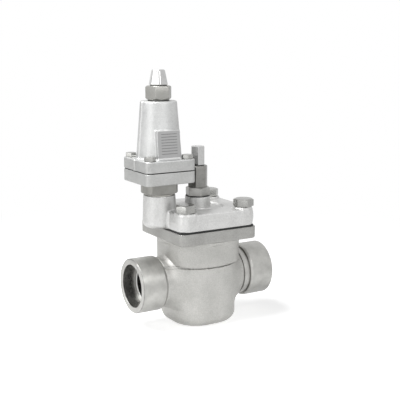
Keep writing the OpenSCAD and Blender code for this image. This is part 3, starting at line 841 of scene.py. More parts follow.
class Finish(Enum):
    """Every finish on the valve."""

    BODY = CastFinish("blasted_body", (0.38, 0.377, 0.36), (0.51, 0.506, 0.487))
    # Darker copy of the body's blasted finish for the flange: the blasted finish is real, the darker tone is
    # painted shade.
    SHADED_FLANGE = CastFinish("blasted_flange_painted_shade", (0.305, 0.303, 0.29), (0.41, 0.408, 0.394))
    COVER = CastFinish("blasted_cover", (0.50, 0.50, 0.492), (0.65, 0.65, 0.642), waves=0.08)
    HOUSING = CastFinish("blasted_housing", (0.49, 0.494, 0.49), (0.62, 0.624, 0.62), waves=0.06, grain=0.04)
    PILOT = CastFinish("blasted_pilot", (0.40, 0.403, 0.395), (0.51, 0.513, 0.506), waves=0.05, grain=0.04)
    LABEL = RuledFinish("ruled_label", (0.43, 0.43, 0.43), (0.08, 0.08, 0.08), PILOT_X, 177.0, 196.6)
    SOCKET = TurnedFinish("turned_socket", (0.36, 0.357, 0.341), (0.48, 0.477, 0.457), axis=(1, 0, 0),
                          centre=(0, 0, 44.5), roughness=0.34, marks=0.02, pitch=1.6)
    BORE = TurnedFinish("bored_socket", (0.22, 0.218, 0.21), (0.36, 0.357, 0.345), axis=(1, 0, 0),
                        centre=(0, 0, 44.5), metallic=1.0, roughness=0.24, marks=0.0015, pitch=1.2)
    # Near-black finish for the casting's hollow faces: painted shade standing in for the depth of the
    # passages.
    SHADED_PASSAGE = CastFinish("passage_painted_shade", (0.05, 0.05, 0.048), (0.11, 0.11, 0.105), metallic=0.5,
                         roughness=0.6)
    NIPPLE = TurnedFinish("turned_nipple", (0.255, 0.252, 0.237), (0.32, 0.317, 0.298),
                          centre=(PILOT_X, 0, 0), roughness=0.28)
    GLAND = TurnedFinish("turned_gland", (0.32, 0.318, 0.30), (0.39, 0.387, 0.368), centre=(PILOT_X, 0, 0),
                         roughness=0.3)
    NUT = TurnedFinish("turned_nut", (0.20, 0.198, 0.187), (0.265, 0.262, 0.25), roughness=0.26)
    BUSHING = TurnedFinish("turned_bushing", (0.32, 0.318, 0.305), (0.41, 0.408, 0.395), roughness=0.3)
    SPINDLE = TurnedFinish("ground_spindle", (0.42, 0.42, 0.42), (0.53, 0.53, 0.53), roughness=0.18,
                           marks=0.004)
    BOLT = TurnedFinish("bolt_steel", (0.30, 0.30, 0.289), (0.40, 0.40, 0.385), metallic=1.0, roughness=0.22,
                        marks=0.004)
    CHROME = PlatedFinish("bright_plating", (0.54, 0.54, 0.536))
    NICKEL = PlatedFinish("worn_plating", (0.52, 0.52, 0.516), 0.1)
    GASKET = SealFinish("black_gasket", (0.010, 0.010, 0.010), (0.035, 0.035, 0.034))
    RUBBER = SealFinish("black_rubber", (0.012, 0.012, 0.012), (0.03, 0.03, 0.03), 0.45, 0.01)
    PLASTIC = SealFinish("white_seal", (0.72, 0.70, 0.64), (0.85, 0.83, 0.78), 0.4, 0.01)
    FACED = TurnedFinish("faced_steel", (0.42, 0.42, 0.405), (0.51, 0.51, 0.495), marks=0.006)
    RING = TurnedFinish("sealing_ring", (0.42, 0.41, 0.38), (0.52, 0.51, 0.48), centre=(PILOT_X, 0, 0))
    SPRING = TurnedFinish("spring_wire", (0.20, 0.20, 0.21), (0.30, 0.30, 0.32), roughness=0.3)
    BRONZE = TurnedFinish("turned_bronze", (0.50, 0.34, 0.14), (0.66, 0.47, 0.22), centre=(PILOT_X, 0, 0))

    @property
    def material(self) -> bpy.types.Material:
        """The material, built on first use."""
        found = bpy.data.materials.get(self.value.name)
        return found or self.value.build()


def dress(obj: bpy.types.Object, finish: Finish) -> None:
    """Gives every face of an object one finish."""
    obj.data.materials.clear()
    obj.data.materials.append(finish.material)


def dressed(name: str, data: MeshData, finish: Finish, sharp: float = 32.0) -> bpy.types.Object:
    """Makes one object with its finish on every face.

    Args:
        name: Its name.
        data: Its shape.
        finish: Its finish.
        sharp: Angle over which an edge is sharp, in degrees.

    Returns:
        The object.
    """
    made = make_object(name, data, sharp)
    dress(made, finish)
    return made


@dataclass
class Piece:
    """One finished piece and what it stands for.

    Attributes:
        obj: Its object.
        body: The body that it rides on.
        slot: The record's material slot; not used.
        nodes: The model's nodes that it replaces.
    """

    obj: bpy.types.Object
    body: str
    slot: str
    nodes: tuple[str, ...] = ()

    def place(self) -> None:
        """Rides on its body and replaces its nodes."""
        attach(self.obj, self.body)
        if self.nodes:
            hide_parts(*self.nodes)
        LOG.info("%s: %d faces on %s", self.obj.name, len(self.obj.data.polygons), self.body)


def dress_where(obj: bpy.types.Object, finish: Finish, test: Callable[[np.ndarray], np.ndarray]) -> None:
    """Gives another finish to the faces whose centres pass a test.

    Args:
        obj: Object that already has a finish.
        finish: Finish of the chosen faces.
        test: Takes face centres in millimetres, gives True where the finish goes.
    """
    mesh = obj.data
    centres = np.empty(len(mesh.polygons) * 3)
    mesh.polygons.foreach_get("center", centres)
    chosen = test(centres.reshape(-1, 3) / MM)
    index = np.empty(len(mesh.polygons), np.int32)
    mesh.polygons.foreach_get("material_index", index)
    index[chosen] = len(mesh.materials)
    mesh.materials.append(finish.material)
    mesh.polygons.foreach_set("material_index", index)


# Geometry nodes


class NodeTree(Nodes):
    """Builds one geometry node tree with named inputs."""

    def __init__(self, name: str, inputs: dict[str, str]) -> None:
        """Starts a tree.

        Args:
            name: Its name.
            inputs: Kinds of value, such as Float, by input name.
        """
        super().__init__(bpy.data.node_groups.new(name, "GeometryNodeTree"))
        face = self.tree.interface
        for key, kind in {"Geometry": "Geometry", **inputs}.items():
            face.new_socket(key, in_out="INPUT", socket_type="NodeSocket" + kind)
        face.new_socket("Geometry", in_out="OUTPUT", socket_type="NodeSocketGeometry")
        self.start = self.node("NodeGroupInput").outputs

    def close(self, geometry: Socket) -> None:
        """Ends the tree in Realize Instances and Set Material."""
        real = self.node("GeometryNodeRealizeInstances", geometry)
        dressed = self.node("GeometryNodeSetMaterial", real.outputs[0], Material=self.start["Finish"])
        self.node("NodeGroupOutput", dressed.outputs[0])

    def bake(self, name: str, base: bpy.types.Mesh, values: dict[str, object]) -> bpy.types.Object:
        """Runs the tree on a mesh and keeps the result as a plain mesh.

        Args:
            name: Name of the piece.
            base: Mesh that the tree starts from.
            values: Values by input name.

        Returns:
            The finished object.
        """
        carrier = stand(name + "_rule", base)
        modifier = carrier.modifiers.new("rule", "NODES")
        modifier.node_group = self.tree
        for item in self.tree.interface.items_tree:
            if item.in_out == "INPUT" and item.name in values:
                modifier[item.identifier] = values[item.name]
        graph = bpy.context.evaluated_depsgraph_get()
        mesh = bpy.data.meshes.new_from_object(carrier.evaluated_get(graph))
        bpy.data.objects.remove(carrier)
        mesh.name = name
        return stand(name, mesh)


def bolt_circle_tree() -> NodeTree:
    """Tree that stands a bolt at each corner of a square and turns each by its own angle."""
    t = NodeTree("bolts_at_corners", {"Bolt": "Object", "Spacing": "Float", "Centre": "Vector",
                                      "Finish": "Material"})
    place = t.node("GeometryNodeInputPosition").outputs[0]
    spread = t.vector("SCALE", place, Scale=t.start["Spacing"])
    moved = t.node("GeometryNodeSetPosition", t.start["Geometry"], Position=spread, Offset=t.start["Centre"])
    turn = t.node("GeometryNodeInputNamedAttribute", "turn", data_type="FLOAT")
    angle = t.node("ShaderNodeCombineXYZ", Z=turn.outputs["Attribute"])
    bolt = t.node("GeometryNodeObjectInfo", t.start["Bolt"])
    stood = t.node("GeometryNodeInstanceOnPoints", Points=moved.outputs[0],
                   Instance=bolt.outputs["Geometry"], Rotation=angle.outputs[0])
    t.close(stood.outputs[0])
    return t


def thread_tree() -> NodeTree:
    """Tree that winds a thread's ridge round an upright neck."""
    t = NodeTree("wound_thread", {"Turns": "Float", "Radius": "Float", "Length": "Float", "Ridge": "Float",
                                  "Foot": "Vector", "Finish": "Material"})
    around = t.start["Radius"]
    wind = t.node("GeometryNodeCurveSpiral", Resolution=48, Rotations=t.start["Turns"], Start_Radius=around,
                  End_Radius=around, Height=t.start["Length"])
    ridge = t.node("GeometryNodeCurvePrimitiveCircle", Resolution=6, Radius=t.start["Ridge"])
    swept = t.node("GeometryNodeCurveToMesh", Curve=wind.outputs[0], Profile_Curve=ridge.outputs[0],
                   Fill_Caps=True)
    stood = t.node("GeometryNodeTransform", Geometry=swept.outputs[0], Translation=t.start["Foot"])
    t.close(stood.outputs[0])
    return t


CORNERS = ((-1.0, -1.0), (1.0, -1.0), (1.0, 1.0), (-1.0, 1.0))


@dataclass
class BoltSet:
    """Four hexagon bolts at the corners of a square, each turned as it came tight.

    Attributes:
        name: Name of the piece and of the node that it replaces.
        x: Centre of the square along X.
        spacing: Bolt axis to the square's middle line.
        shank_r: Shank radius.
        flats: Width across flats.
        head: Height of the head.
        low: Lower end of the shank.
        seat: Height that the head sits on.
        turns: Turn of each head in degrees, in the order of CORNERS.
    """

    name: str
    x: float
    spacing: float
    shank_r: float
    flats: float
    head: float
    low: float
    seat: float
    turns: tuple[float, float, float, float]

    def blank(self) -> MeshData:
        """Skins one bolt on the axis."""
        top = self.seat + self.head
        face = 0.06 * self.head
        stack = RingStack(hexagon_plan(self.flats, 0, 0.3))
        stack.turned([(0.01, self.low), (self.shank_r - 0.8, self.low), (self.shank_r, self.low + 0.8),
                      (self.shank_r, self.seat), (self.flats * 0.47, self.seat),
                      (self.flats * 0.475, self.seat + face)])
        stack.outline(self.seat + face, 0.985).outline(self.seat + face + 0.12)
        stack.chamfered(top, self.flats * 0.475, True)
        stack.turned([(self.flats * 0.3, top), (0.01, top)])
        return stack.mesh(loop=False)

    def build(self) -> list[Piece]:
        """Lays out the set."""
        bolt = make_object(self.name + "_blank", self.blank(), 28)
        points = bpy.data.meshes.new(self.name + "_places")
        points.from_pydata([(x, y, 0.0) for x, y in CORNERS], [], [])
        attribute = points.attributes.new("turn", "FLOAT", "POINT")
        attribute.data.foreach_set("value", [math.radians(t) for t in self.turns])
        made = bolt_circle_tree().bake(self.name + "_milled", points, {
            "Bolt": bolt, "Spacing": self.spacing * MM, "Centre": (self.x * MM, 0.0, 0.0),
            "Finish": Finish.BOLT.material})
        bpy.data.objects.remove(bolt)
        return [Piece(made, "valve", self.name, (self.name,))]


def wound_thread(name: str, x: float, radius: float, low: float, high: float,
                 finish: Finish) -> bpy.types.Object:
    """Winds a thread's ridge round a neck.

    Args:
        name: Name of the piece.
        x: Neck's axis along X.
        radius: Outer radius of the thread.
        low: Lower end.
        high: Upper end.
        finish: Its finish.

    Returns:
        The ridge.
    """
    pitch, ridge = 1.0, 0.42
    base = bpy.data.meshes.new(name + "_start")
    return thread_tree().bake(name, base, {
        "Turns": (high - low) / pitch, "Radius": (radius - ridge) * MM, "Length": (high - low) * MM,
        "Ridge": ridge * MM, "Foot": (x * MM, 0.0, low * MM), "Finish": finish.material})


# The valve


@dataclass
class ValveBody:
    """Cast body: bowl, collar, square flange and two pipe sockets.

    Attributes:
        port: Height of the pipe axis.
        half_length: Half the length over the sockets.
        relief: Depth of the thin groove under the collar.
        crease_z: Height below which the necks leave the bowl in a crease.
        step: Cell size of the casting's mesh.
        inlet_room: Radius, low end and high end, as for every hollow after it.
        bend_x: Distance of each passage's bend from the middle.
    """

    port: float = 44.5
    half_length: float = 76.0
    socket_length: float = 27.0
    socket_r: float = 27.5
    bore_r: float = 21.45
    depth: float = 13.0
    passage_r: float = 16.0
    bevel: float = 1.0
    neck_r: float = 25.0
    bowl_w: float = 72.0
    bowl_corner: float = 30.0
    bowl_edge: float = 10.0
    collar_w: float = 80.0
    collar_corner: float = 34.0
    collar_z: float = 64.0
    flange_w: float = 87.7
    flange_z: float = 88.6
    top: float = 100.6
    bolt_at: float = 33.6
    relief: float = 1.2
    neck_fillet: float = 11.0
    crease_z: float = 17.6
    inlet_neck_end: float = 47.8
    outlet_neck_end: float = 40.4
    edge: float = 0.5
    flange_corner: float = 6.0
    flange_fillet: float = 1.6
    lip_inset: float = 2.4
    lip_drop: float = 3.5
    lip_fillet: float = 0.8
    step: float = 0.9
    inlet_room: Span = (27.0, 7.0, 41.5)
    drain: Span = (13.4, 5.5, 8.0)
    outlet_room: Span = (29.0, 47.5, 66.0)
    seat_bore: Span = (20.05, 40.0, 49.0)
    module_bore: Span = (27.05, 65.0, 102.0)
    module_rim: Span = (31.05, 91.9, 102.0)
    bolt_hole: Span = (6.0, 87.1, 102.0)
    bend_x: float = 50.0
    throat_r: float = 11.2
    throat_tilt: float = 26.0
    throat_run: float = 38.0
    throat_lift: float = 3.0
    throat_low: float = 11.0
    throat_top: float = 78.0

    def outside(self, p: np.ndarray) -> np.ndarray:
        """Distance to the casting without its hollows."""
        x, y, z = p.T
        bowl = round_cut(plan_square(x, y, self.bowl_w, self.bowl_corner), -z, self.bowl_edge)
        bowl = np.maximum(bowl, z - self.collar_z - 4)
        neck = np.hypot(y, z - self.port) - self.neck_r
        ends = np.maximum(-self.inlet_neck_end - x, x - self.outlet_neck_end)
        flared = round_cut(round_union(bowl, neck, self.neck_fillet), ends, self.edge)
        flared = round_cut(flared, self.crease_z - z, 0.9)
        plain = round_cut(np.minimum(bowl, neck), ends, self.edge)
        bowl = round_union(plain, flared, self.edge)
        collar = plan_square(x, y, self.collar_w, self.collar_corner)
        collar = round_cut(collar, self.collar_z - z, self.edge)
        collar = np.maximum(collar, z - self.flange_z - 2)
        lip_r = self.flange_w / 2 - self.lip_inset
        lip = drum(p, 0, 0, lip_r, self.flange_z - self.lip_drop, self.flange_z + 1, self.lip_fillet)
        flange = plan_square(x, y, self.flange_w, self.flange_corner)
        flange = round_cut(flange, self.flange_z - z, self.flange_fillet)
        flange = round_cut(flange, z - self.top, self.edge)
        band = np.abs(z - (self.collar_z - 1.3)) - 1.0
        deep = self.relief * np.clip((neck + 4) / 12, 0.3, 1)
        bowl = np.maximum(bowl, np.minimum(-band, bowl + deep))
        out = round_union(bowl, collar, self.edge)
        out = round_union(out, lip, self.lip_fillet)
        return round_union(out, flange, self.flange_fillet)

    def hollow(self, p: np.ndarray) -> np.ndarray:
        """Distance to the flow passages and the module's seat."""
        x, y, z = p.T
        rooms = [drum(p, 0, 0, *room, 1.0) for room in (self.inlet_room, self.outlet_room)]
        bores = (self.drain, self.seat_bore, self.module_bore, self.module_rim)
        rooms += [drum(p, 0, 0, *bore) for bore in bores]
        for side in (-1, 1):
            turn = side * self.bend_x
            mouth = side * (self.half_length + 4)
            rooms.append(pipe(p, (mouth, 0, self.port), (turn, 0, self.port), self.passage_r))
            rooms.append(np.linalg.norm(p - np.array([turn, 0, self.port]), axis=1) - self.passage_r)
            rise = math.tan(math.radians(self.throat_tilt)) * self.throat_run * side
            foot = self.port + self.throat_lift * side
            throat = pipe(p, (turn, 0, foot), (turn - side * self.throat_run, 0, foot + rise), self.throat_r)
            if side < 0:
                layer = slab(z, self.throat_low, self.inlet_room[2])
            else:
                layer = slab(z, self.outlet_room[1], self.throat_top)
            rooms.append(np.maximum(throat, layer))
            for across in (-1, 1):
                rooms.append(drum(p, side * self.bolt_at, across * self.bolt_at, *self.bolt_hole))
        return np.minimum.reduce(rooms)

    def casting(self, p: np.ndarray) -> np.ndarray:
        """Distance to the hollow casting."""
        return round_cut(self.outside(p), -self.hollow(p), 0.35)

    def bored(self, centres: np.ndarray) -> np.ndarray:
        """Faces of a socket's bore and of the weld bevel, but not of the ledge in the bore."""
        out, along = np.hypot(centres[:, 1], centres[:, 2] - self.port), np.abs(centres[:, 0])
        bore = (out < self.bore_r + 0.1) & (np.abs(along - self.half_length + self.depth) > 0.02)
        bevel = (out > self.socket_r - self.bevel + 0.1) & (along > self.half_length - self.bevel + 0.1)
        return bore | bevel

    def ledge(self, centres: np.ndarray) -> np.ndarray:
        """Faces of the ledge that the pipe stops at, with its chamfer."""
        out, along = np.hypot(centres[:, 1], centres[:, 2] - self.port), np.abs(centres[:, 0])
        return (out < self.bore_r - 0.2) & (np.abs(along - self.half_length + self.depth) < 0.62)

    def socket(self, side: int) -> MeshData:
        """Skins one pipe socket.

        Args:
            side: -1 for the inlet, 1 for the outlet.

        Returns:
            The turned socket.
        """
        end = self.half_length
        start = end - self.socket_length
        ledge = end - self.depth
        neck_end = self.inlet_neck_end if side < 0 else self.outlet_neck_end
        foot = neck_end - 1.5
        tube_r, groove_r, relief_r = self.neck_r - 0.15, self.neck_r - 0.9, self.neck_r - 1.6
        relief = [(relief_r, foot), (relief_r, neck_end + 1.9, 0.2), (tube_r, neck_end + 2.2, 0.2)]
        profile = fillet([
            (self.passage_r + 0.02, foot), *(relief if side > 0 else [(tube_r, foot)]),
            (tube_r, start - 0.9, 0.2), (groove_r, start - 0.6, 0.2), (groove_r, start, 0.2),
            (self.neck_r + 1.4, start, 0.5), (self.socket_r, start + 2.2, 1.4),
            (self.socket_r, end - self.bevel, 0.2), (self.socket_r - self.bevel, end, 0.2),
            (self.bore_r + 0.5, end, 0.2), (self.bore_r, end - 0.5, 0.2), (self.bore_r, ledge, 0.3),
            (self.passage_r + 0.6, ledge, 0.2), (self.passage_r, ledge - 0.6, 0.2),
            (self.passage_r, foot + 0.1),
        ])
        stack = RingStack(circle_plan(144)).turned(profile)
        data = stack.mesh()
        verts = np.stack([side * data.verts[:, 2], data.verts[:, 1], data.verts[:, 0] + self.port], 1)
        return MeshData(verts, data.faces)

    def build(self) -> list[Piece]:
        """Builds the casting and its two sockets."""
        half = self.half_length - self.socket_length + 2
        # The start keeps grid lines off the bolt holes' sides, where the net would touch itself.
        casting = mesh_field(self.casting, (-half - 0.37, -45.23, -1.17), (half, 45, 102), self.step)
        pieces = []
        made = dressed("body_casting", casting, Finish.BODY)
        # The flange of the same casting gets the darker copy of the body's finish, which is painted shade.
        dress_where(made, Finish.SHADED_FLANGE, lambda c: c[:, 2] > self.flange_z - 0.4)
        # The faces of the passages get the near-black finish, which is painted shade for their depth.
        dress_where(made, Finish.SHADED_PASSAGE, lambda c: np.abs(self.hollow(c)) < 0.3)
        pieces.append(Piece(made, "valve", "valve_body", ("valve_body",)))
        for side, name in ((-1, "inlet_socket"), (1, "outlet_socket")):
            made = dressed(name, self.socket(side), Finish.SOCKET)
            dress_where(made, Finish.BORE, self.bored)
            dress_where(made, Finish.FACED, self.ledge)
            pieces.append(Piece(made, "valve", "valve_body", ("valve_body",)))
        return pieces


@dataclass
class TopCover:
    """Cast cover with its bolt seats, pocket, spindle boss and pilot boss.

    Attributes:
        parting: Height where the sides change their draft.
        step: Cell size of the casting's mesh.
        under_room: Radius, low end and high end, as for every hollow after it.
        drilling_at: Place of the small drilling, from the pilot's axis.
    """

    low: float = 102.0
    parting: float = 110.5
    top: float = 119.0
    width: float = 86.98
    corner: float = 9.0
    draft: float = 0.8
    bolt_at: float = 33.59
    seat_r: float = 10.8
    seat_top: float = 120.6
    pocket_r: float = 25.0
    pocket_depth: float = 2.2
    boss_r: float = 13.0
    boss_top: float = 129.2
    pilot_r: float = 15.9
    pilot_foot_r: float = 17.2
    pilot_edge: float = 6.0
    pilot_top: float = 134.6
    step: float = 0.8
    under_room: Span = (22.0, 101.0, 111.0)
    spindle_bore: Span = (5.6, 110.0, 130.0)
    bushing_bore: Span = (10.05, 118.0, 130.0)
    pilot_bore: Span = (12.05, 116.0, 136.0)
    pilot_room: Span = (13.0, 113.0, 117.0)
    supply_bore: Span = (6.05, 104.0, 114.0)
    bolt_hole: Span = (6.6, 101.0, 123.0)
    drilling: Span = (1.5, 101.0, 114.0)
    drilling_at: tuple[float, float] = (10.4, 7.0)
    channel_r: float = 2.5
    channel_z: float = 107.0
    channel_end: float = -20.0

    def outside(self, p: np.ndarray) -> np.ndarray:
        """Distance to the cover without its hollows."""
        x, y, z = p.T
        below = np.clip((z - self.low) / (self.parting - self.low), 0, 1)
        above = np.clip((z - self.parting) / (self.top - self.parting), 0, 1)
        width = self.width - 2 * self.draft * (1 - below) - 2.4 * self.draft * above
        plate = plan_square(x, y, width, self.corner)
        plate = round_cut(plate, z - self.top, 1.6)
        plate = round_cut(plate, self.low - z, 1.1)
        for cx, cy in CORNERS:
            at = cx * self.bolt_at, cy * self.bolt_at
            seat = drum(p, *at, self.seat_r, self.top - 6, self.seat_top, 0.7)
            seat = np.maximum(seat, plan_square(x, y, width - 0.6, self.corner))
            plate = round_union(plate, seat, 1.4)
        pocket = drum(p, 0, 0, self.pocket_r, self.top - self.pocket_depth, self.top + 9, 1.8)
        plate = round_cut(plate, -pocket, 2.4)
        boss = drum(p, 0, 0, self.boss_r, self.top - 5, self.boss_top, 0.6)
        plate = round_union(plate, boss, 1.8)
        return round_union(plate, self.pilot_boss(p), 3.0)

    def pilot_boss(self, p: np.ndarray) -> np.ndarray:
        """Distance to the drafted boss that carries the pilot."""
        x, y, z = p.T
        rise = np.clip((z - self.low) / (self.pilot_top - self.low), 0, 1)
        side = np.hypot(x - PILOT_X, y) - (self.pilot_foot_r + (self.pilot_r - self.pilot_foot_r) * rise)
        boss = round_cut(side, z - self.pilot_top, 0.9)
        return round_cut(boss, self.low - z, self.pilot_edge)

    def hollow(self, p: np.ndarray) -> np.ndarray:
        """Distance to the bores and channels."""
        rooms = [
            drum(p, 0, 0, *self.under_room, 0.4),
            pipe(p, (PILOT_X, 0, self.channel_z), (self.channel_end, 0, self.channel_z), self.channel_r),
            drum(p, PILOT_X + self.drilling_at[0], self.drilling_at[1], *self.drilling),
        ]
        rooms += [drum(p, 0, 0, *bore) for bore in (self.spindle_bore, self.bushing_bore)]
        rooms += [drum(p, PILOT_X, 0, *bore) for bore in (self.pilot_bore, self.pilot_room, self.supply_bore)]
        rooms += [drum(p, cx * self.bolt_at, cy * self.bolt_at, *self.bolt_hole) for cx, cy in CORNERS]
        return np.minimum.reduce(rooms)

    def casting(self, p: np.ndarray) -> np.ndarray:
        """Distance to the hollow cover."""
        return round_cut(self.outside(p), -self.hollow(p), 0.35)

    def machined(self, centres: np.ndarray) -> np.ndarray:
        """Faces of the bolt seats and of the two bosses' ends."""
        x, y, z = centres.T
        seats = (np.abs(z - self.seat_top) < 0.12) & (np.abs(x) > 20)
        ends = (np.abs(z - self.boss_top) < 0.12) | (np.abs(z - self.pilot_top) < 0.12)
        return seats | ends | (z < self.low + 0.05)

    def build(self) -> list[Piece]:
        """Builds the cover."""
        data = mesh_field(self.casting, (-63, -45, 101), (45, 45, 136), self.step)
        made = dressed("cover_casting", data, Finish.COVER)
        dress_where(made, Finish.FACED, self.machined)
        return [Piece(made, "valve", "top_cover", ("top_cover",))]


@dataclass
class HandSpindle:
    """Bushing, gland nut and seal cap over the hand spindle.

    Attributes:
        bore_r: Bore of the bushing and of the cap.
        packing_r: Radius of the neck that holds the packing.
        gland_bore_r: Radius of the gland nut's bore round that neck.
        stem_r: Radius of the gland nut's bore for the spindle.
        under: Height of the gland nut's roof over the packing.
    """

    bushing_z: float = 130.0
    bushing_flats: float = 22.0
    bushing_turn: float = 15.0
    gland_z: float = 138.6
    gland_flats: float = 18.0
    gland_turn: float = 50.0
    gland_top: float = 160.5
    neck_r: float = 4.95
    neck_top: float = 165.5
    cap_z: float = 161.0
    cap_top: float = 180.0
    cap_flats: float = 13.0
    cap_turn: float = 4.0
    nipple_low: float = 118.0
    nipple_r: float = 9.94
    bore_r: float = 5.02
    packing_r: float = 6.95
    packing_bore_r: float = 5.32
    packing_foot: float = 130.6
    packing_top: float = 150.0
    gland_bore_r: float = 7.02
    stem_r: float = 4.07
    under: float = 155.4

    def bushing(self) -> MeshData:
        """Skins the low hexagon with its nipple and packing neck."""
        stack = RingStack(hexagon_plan(self.bushing_flats, self.bushing_turn, 0.4))
        stack.turned([(self.bore_r, self.nipple_low), (9.2, self.nipple_low),
                      (self.nipple_r, self.nipple_low + 0.8), (self.nipple_r, self.bushing_z),
                      (10.4, self.bushing_z)])
        stack.outline(self.bushing_z, 0.985).outline(self.bushing_z + 0.2)
        stack.chamfered(self.gland_z, self.bushing_flats * 0.48, True)
        stack.turned([(self.packing_r, self.gland_z), (self.packing_r, 149.4), (6.4, self.packing_top),
                      (self.packing_bore_r, self.packing_top), (self.packing_bore_r, self.packing_foot),
                      (self.bore_r, 130.4)])
        return stack.mesh()

    def gland(self) -> MeshData:
        """Skins the tall gland nut with its neck for the cap."""
        stack = RingStack(hexagon_plan(self.gland_flats, self.gland_turn, 0.45))
        foot = self.gland_z + 0.02
        stack.turned([(self.gland_bore_r, self.gland_z + 0.4), (7.4, foot), (8.4, foot)])
        stack.outline(foot, 0.985).outline(self.gland_z + 0.22)
        stack.chamfered(self.gland_top, self.gland_flats * 0.48, True)
        root = self.neck_r - 0.45
        end = self.neck_top - 0.02
        stack.turned([(root, self.gland_top), (root, self.neck_top - 0.5), (root - 0.35, end),
                      (self.stem_r, end), (self.stem_r, self.under), (self.gland_bore_r, self.under)])
        return stack.mesh()

    def cap(self) -> MeshData:
        """Skins the small seal cap."""
        stack = RingStack(hexagon_plan(self.cap_flats, self.cap_turn, 0.7, 4))
        stack.turned([(self.bore_r, self.cap_z + 0.4), (5.4, self.cap_z), (5.9, self.cap_z)])
        stack.outline(self.cap_z, 0.965).outline(self.cap_z + 0.35)
        stack.chamfered(self.cap_top, self.cap_flats * 0.47, True)
        stack.turned([(3.5, self.cap_top), (0.02, self.cap_top), (0.02, self.cap_top - 3.5),
                      (4.25, self.cap_top - 3.5), (4.3, 166.4), (self.bore_r, 166.3)])
        return stack.mesh()

    def build(self) -> list[Piece]:
        """Builds the stack from the bushing up."""
        pieces = []
        milled = (("bushing_milled", self.bushing(), Finish.BUSHING, "spindle_bushing"),
                  ("gland_milled", self.gland(), Finish.NUT, "gland_nut"))
        for name, data, finish, node in milled:
            pieces.append(Piece(dressed(name, data, finish, 28), "valve", node, (node,)))
        thread = wound_thread("gland_neck_thread", 0, self.neck_r, self.gland_top + 0.6, self.neck_top - 0.7,
                              Finish.NUT)
        pieces.append(Piece(thread, "valve", "gland_nut"))
        made = dressed("cap_plated", self.cap(), Finish.NICKEL, 28)
        pieces.append(Piece(made, "spindle_cap", "spindle_cap", ("spindle_cap",)))
        return pieces


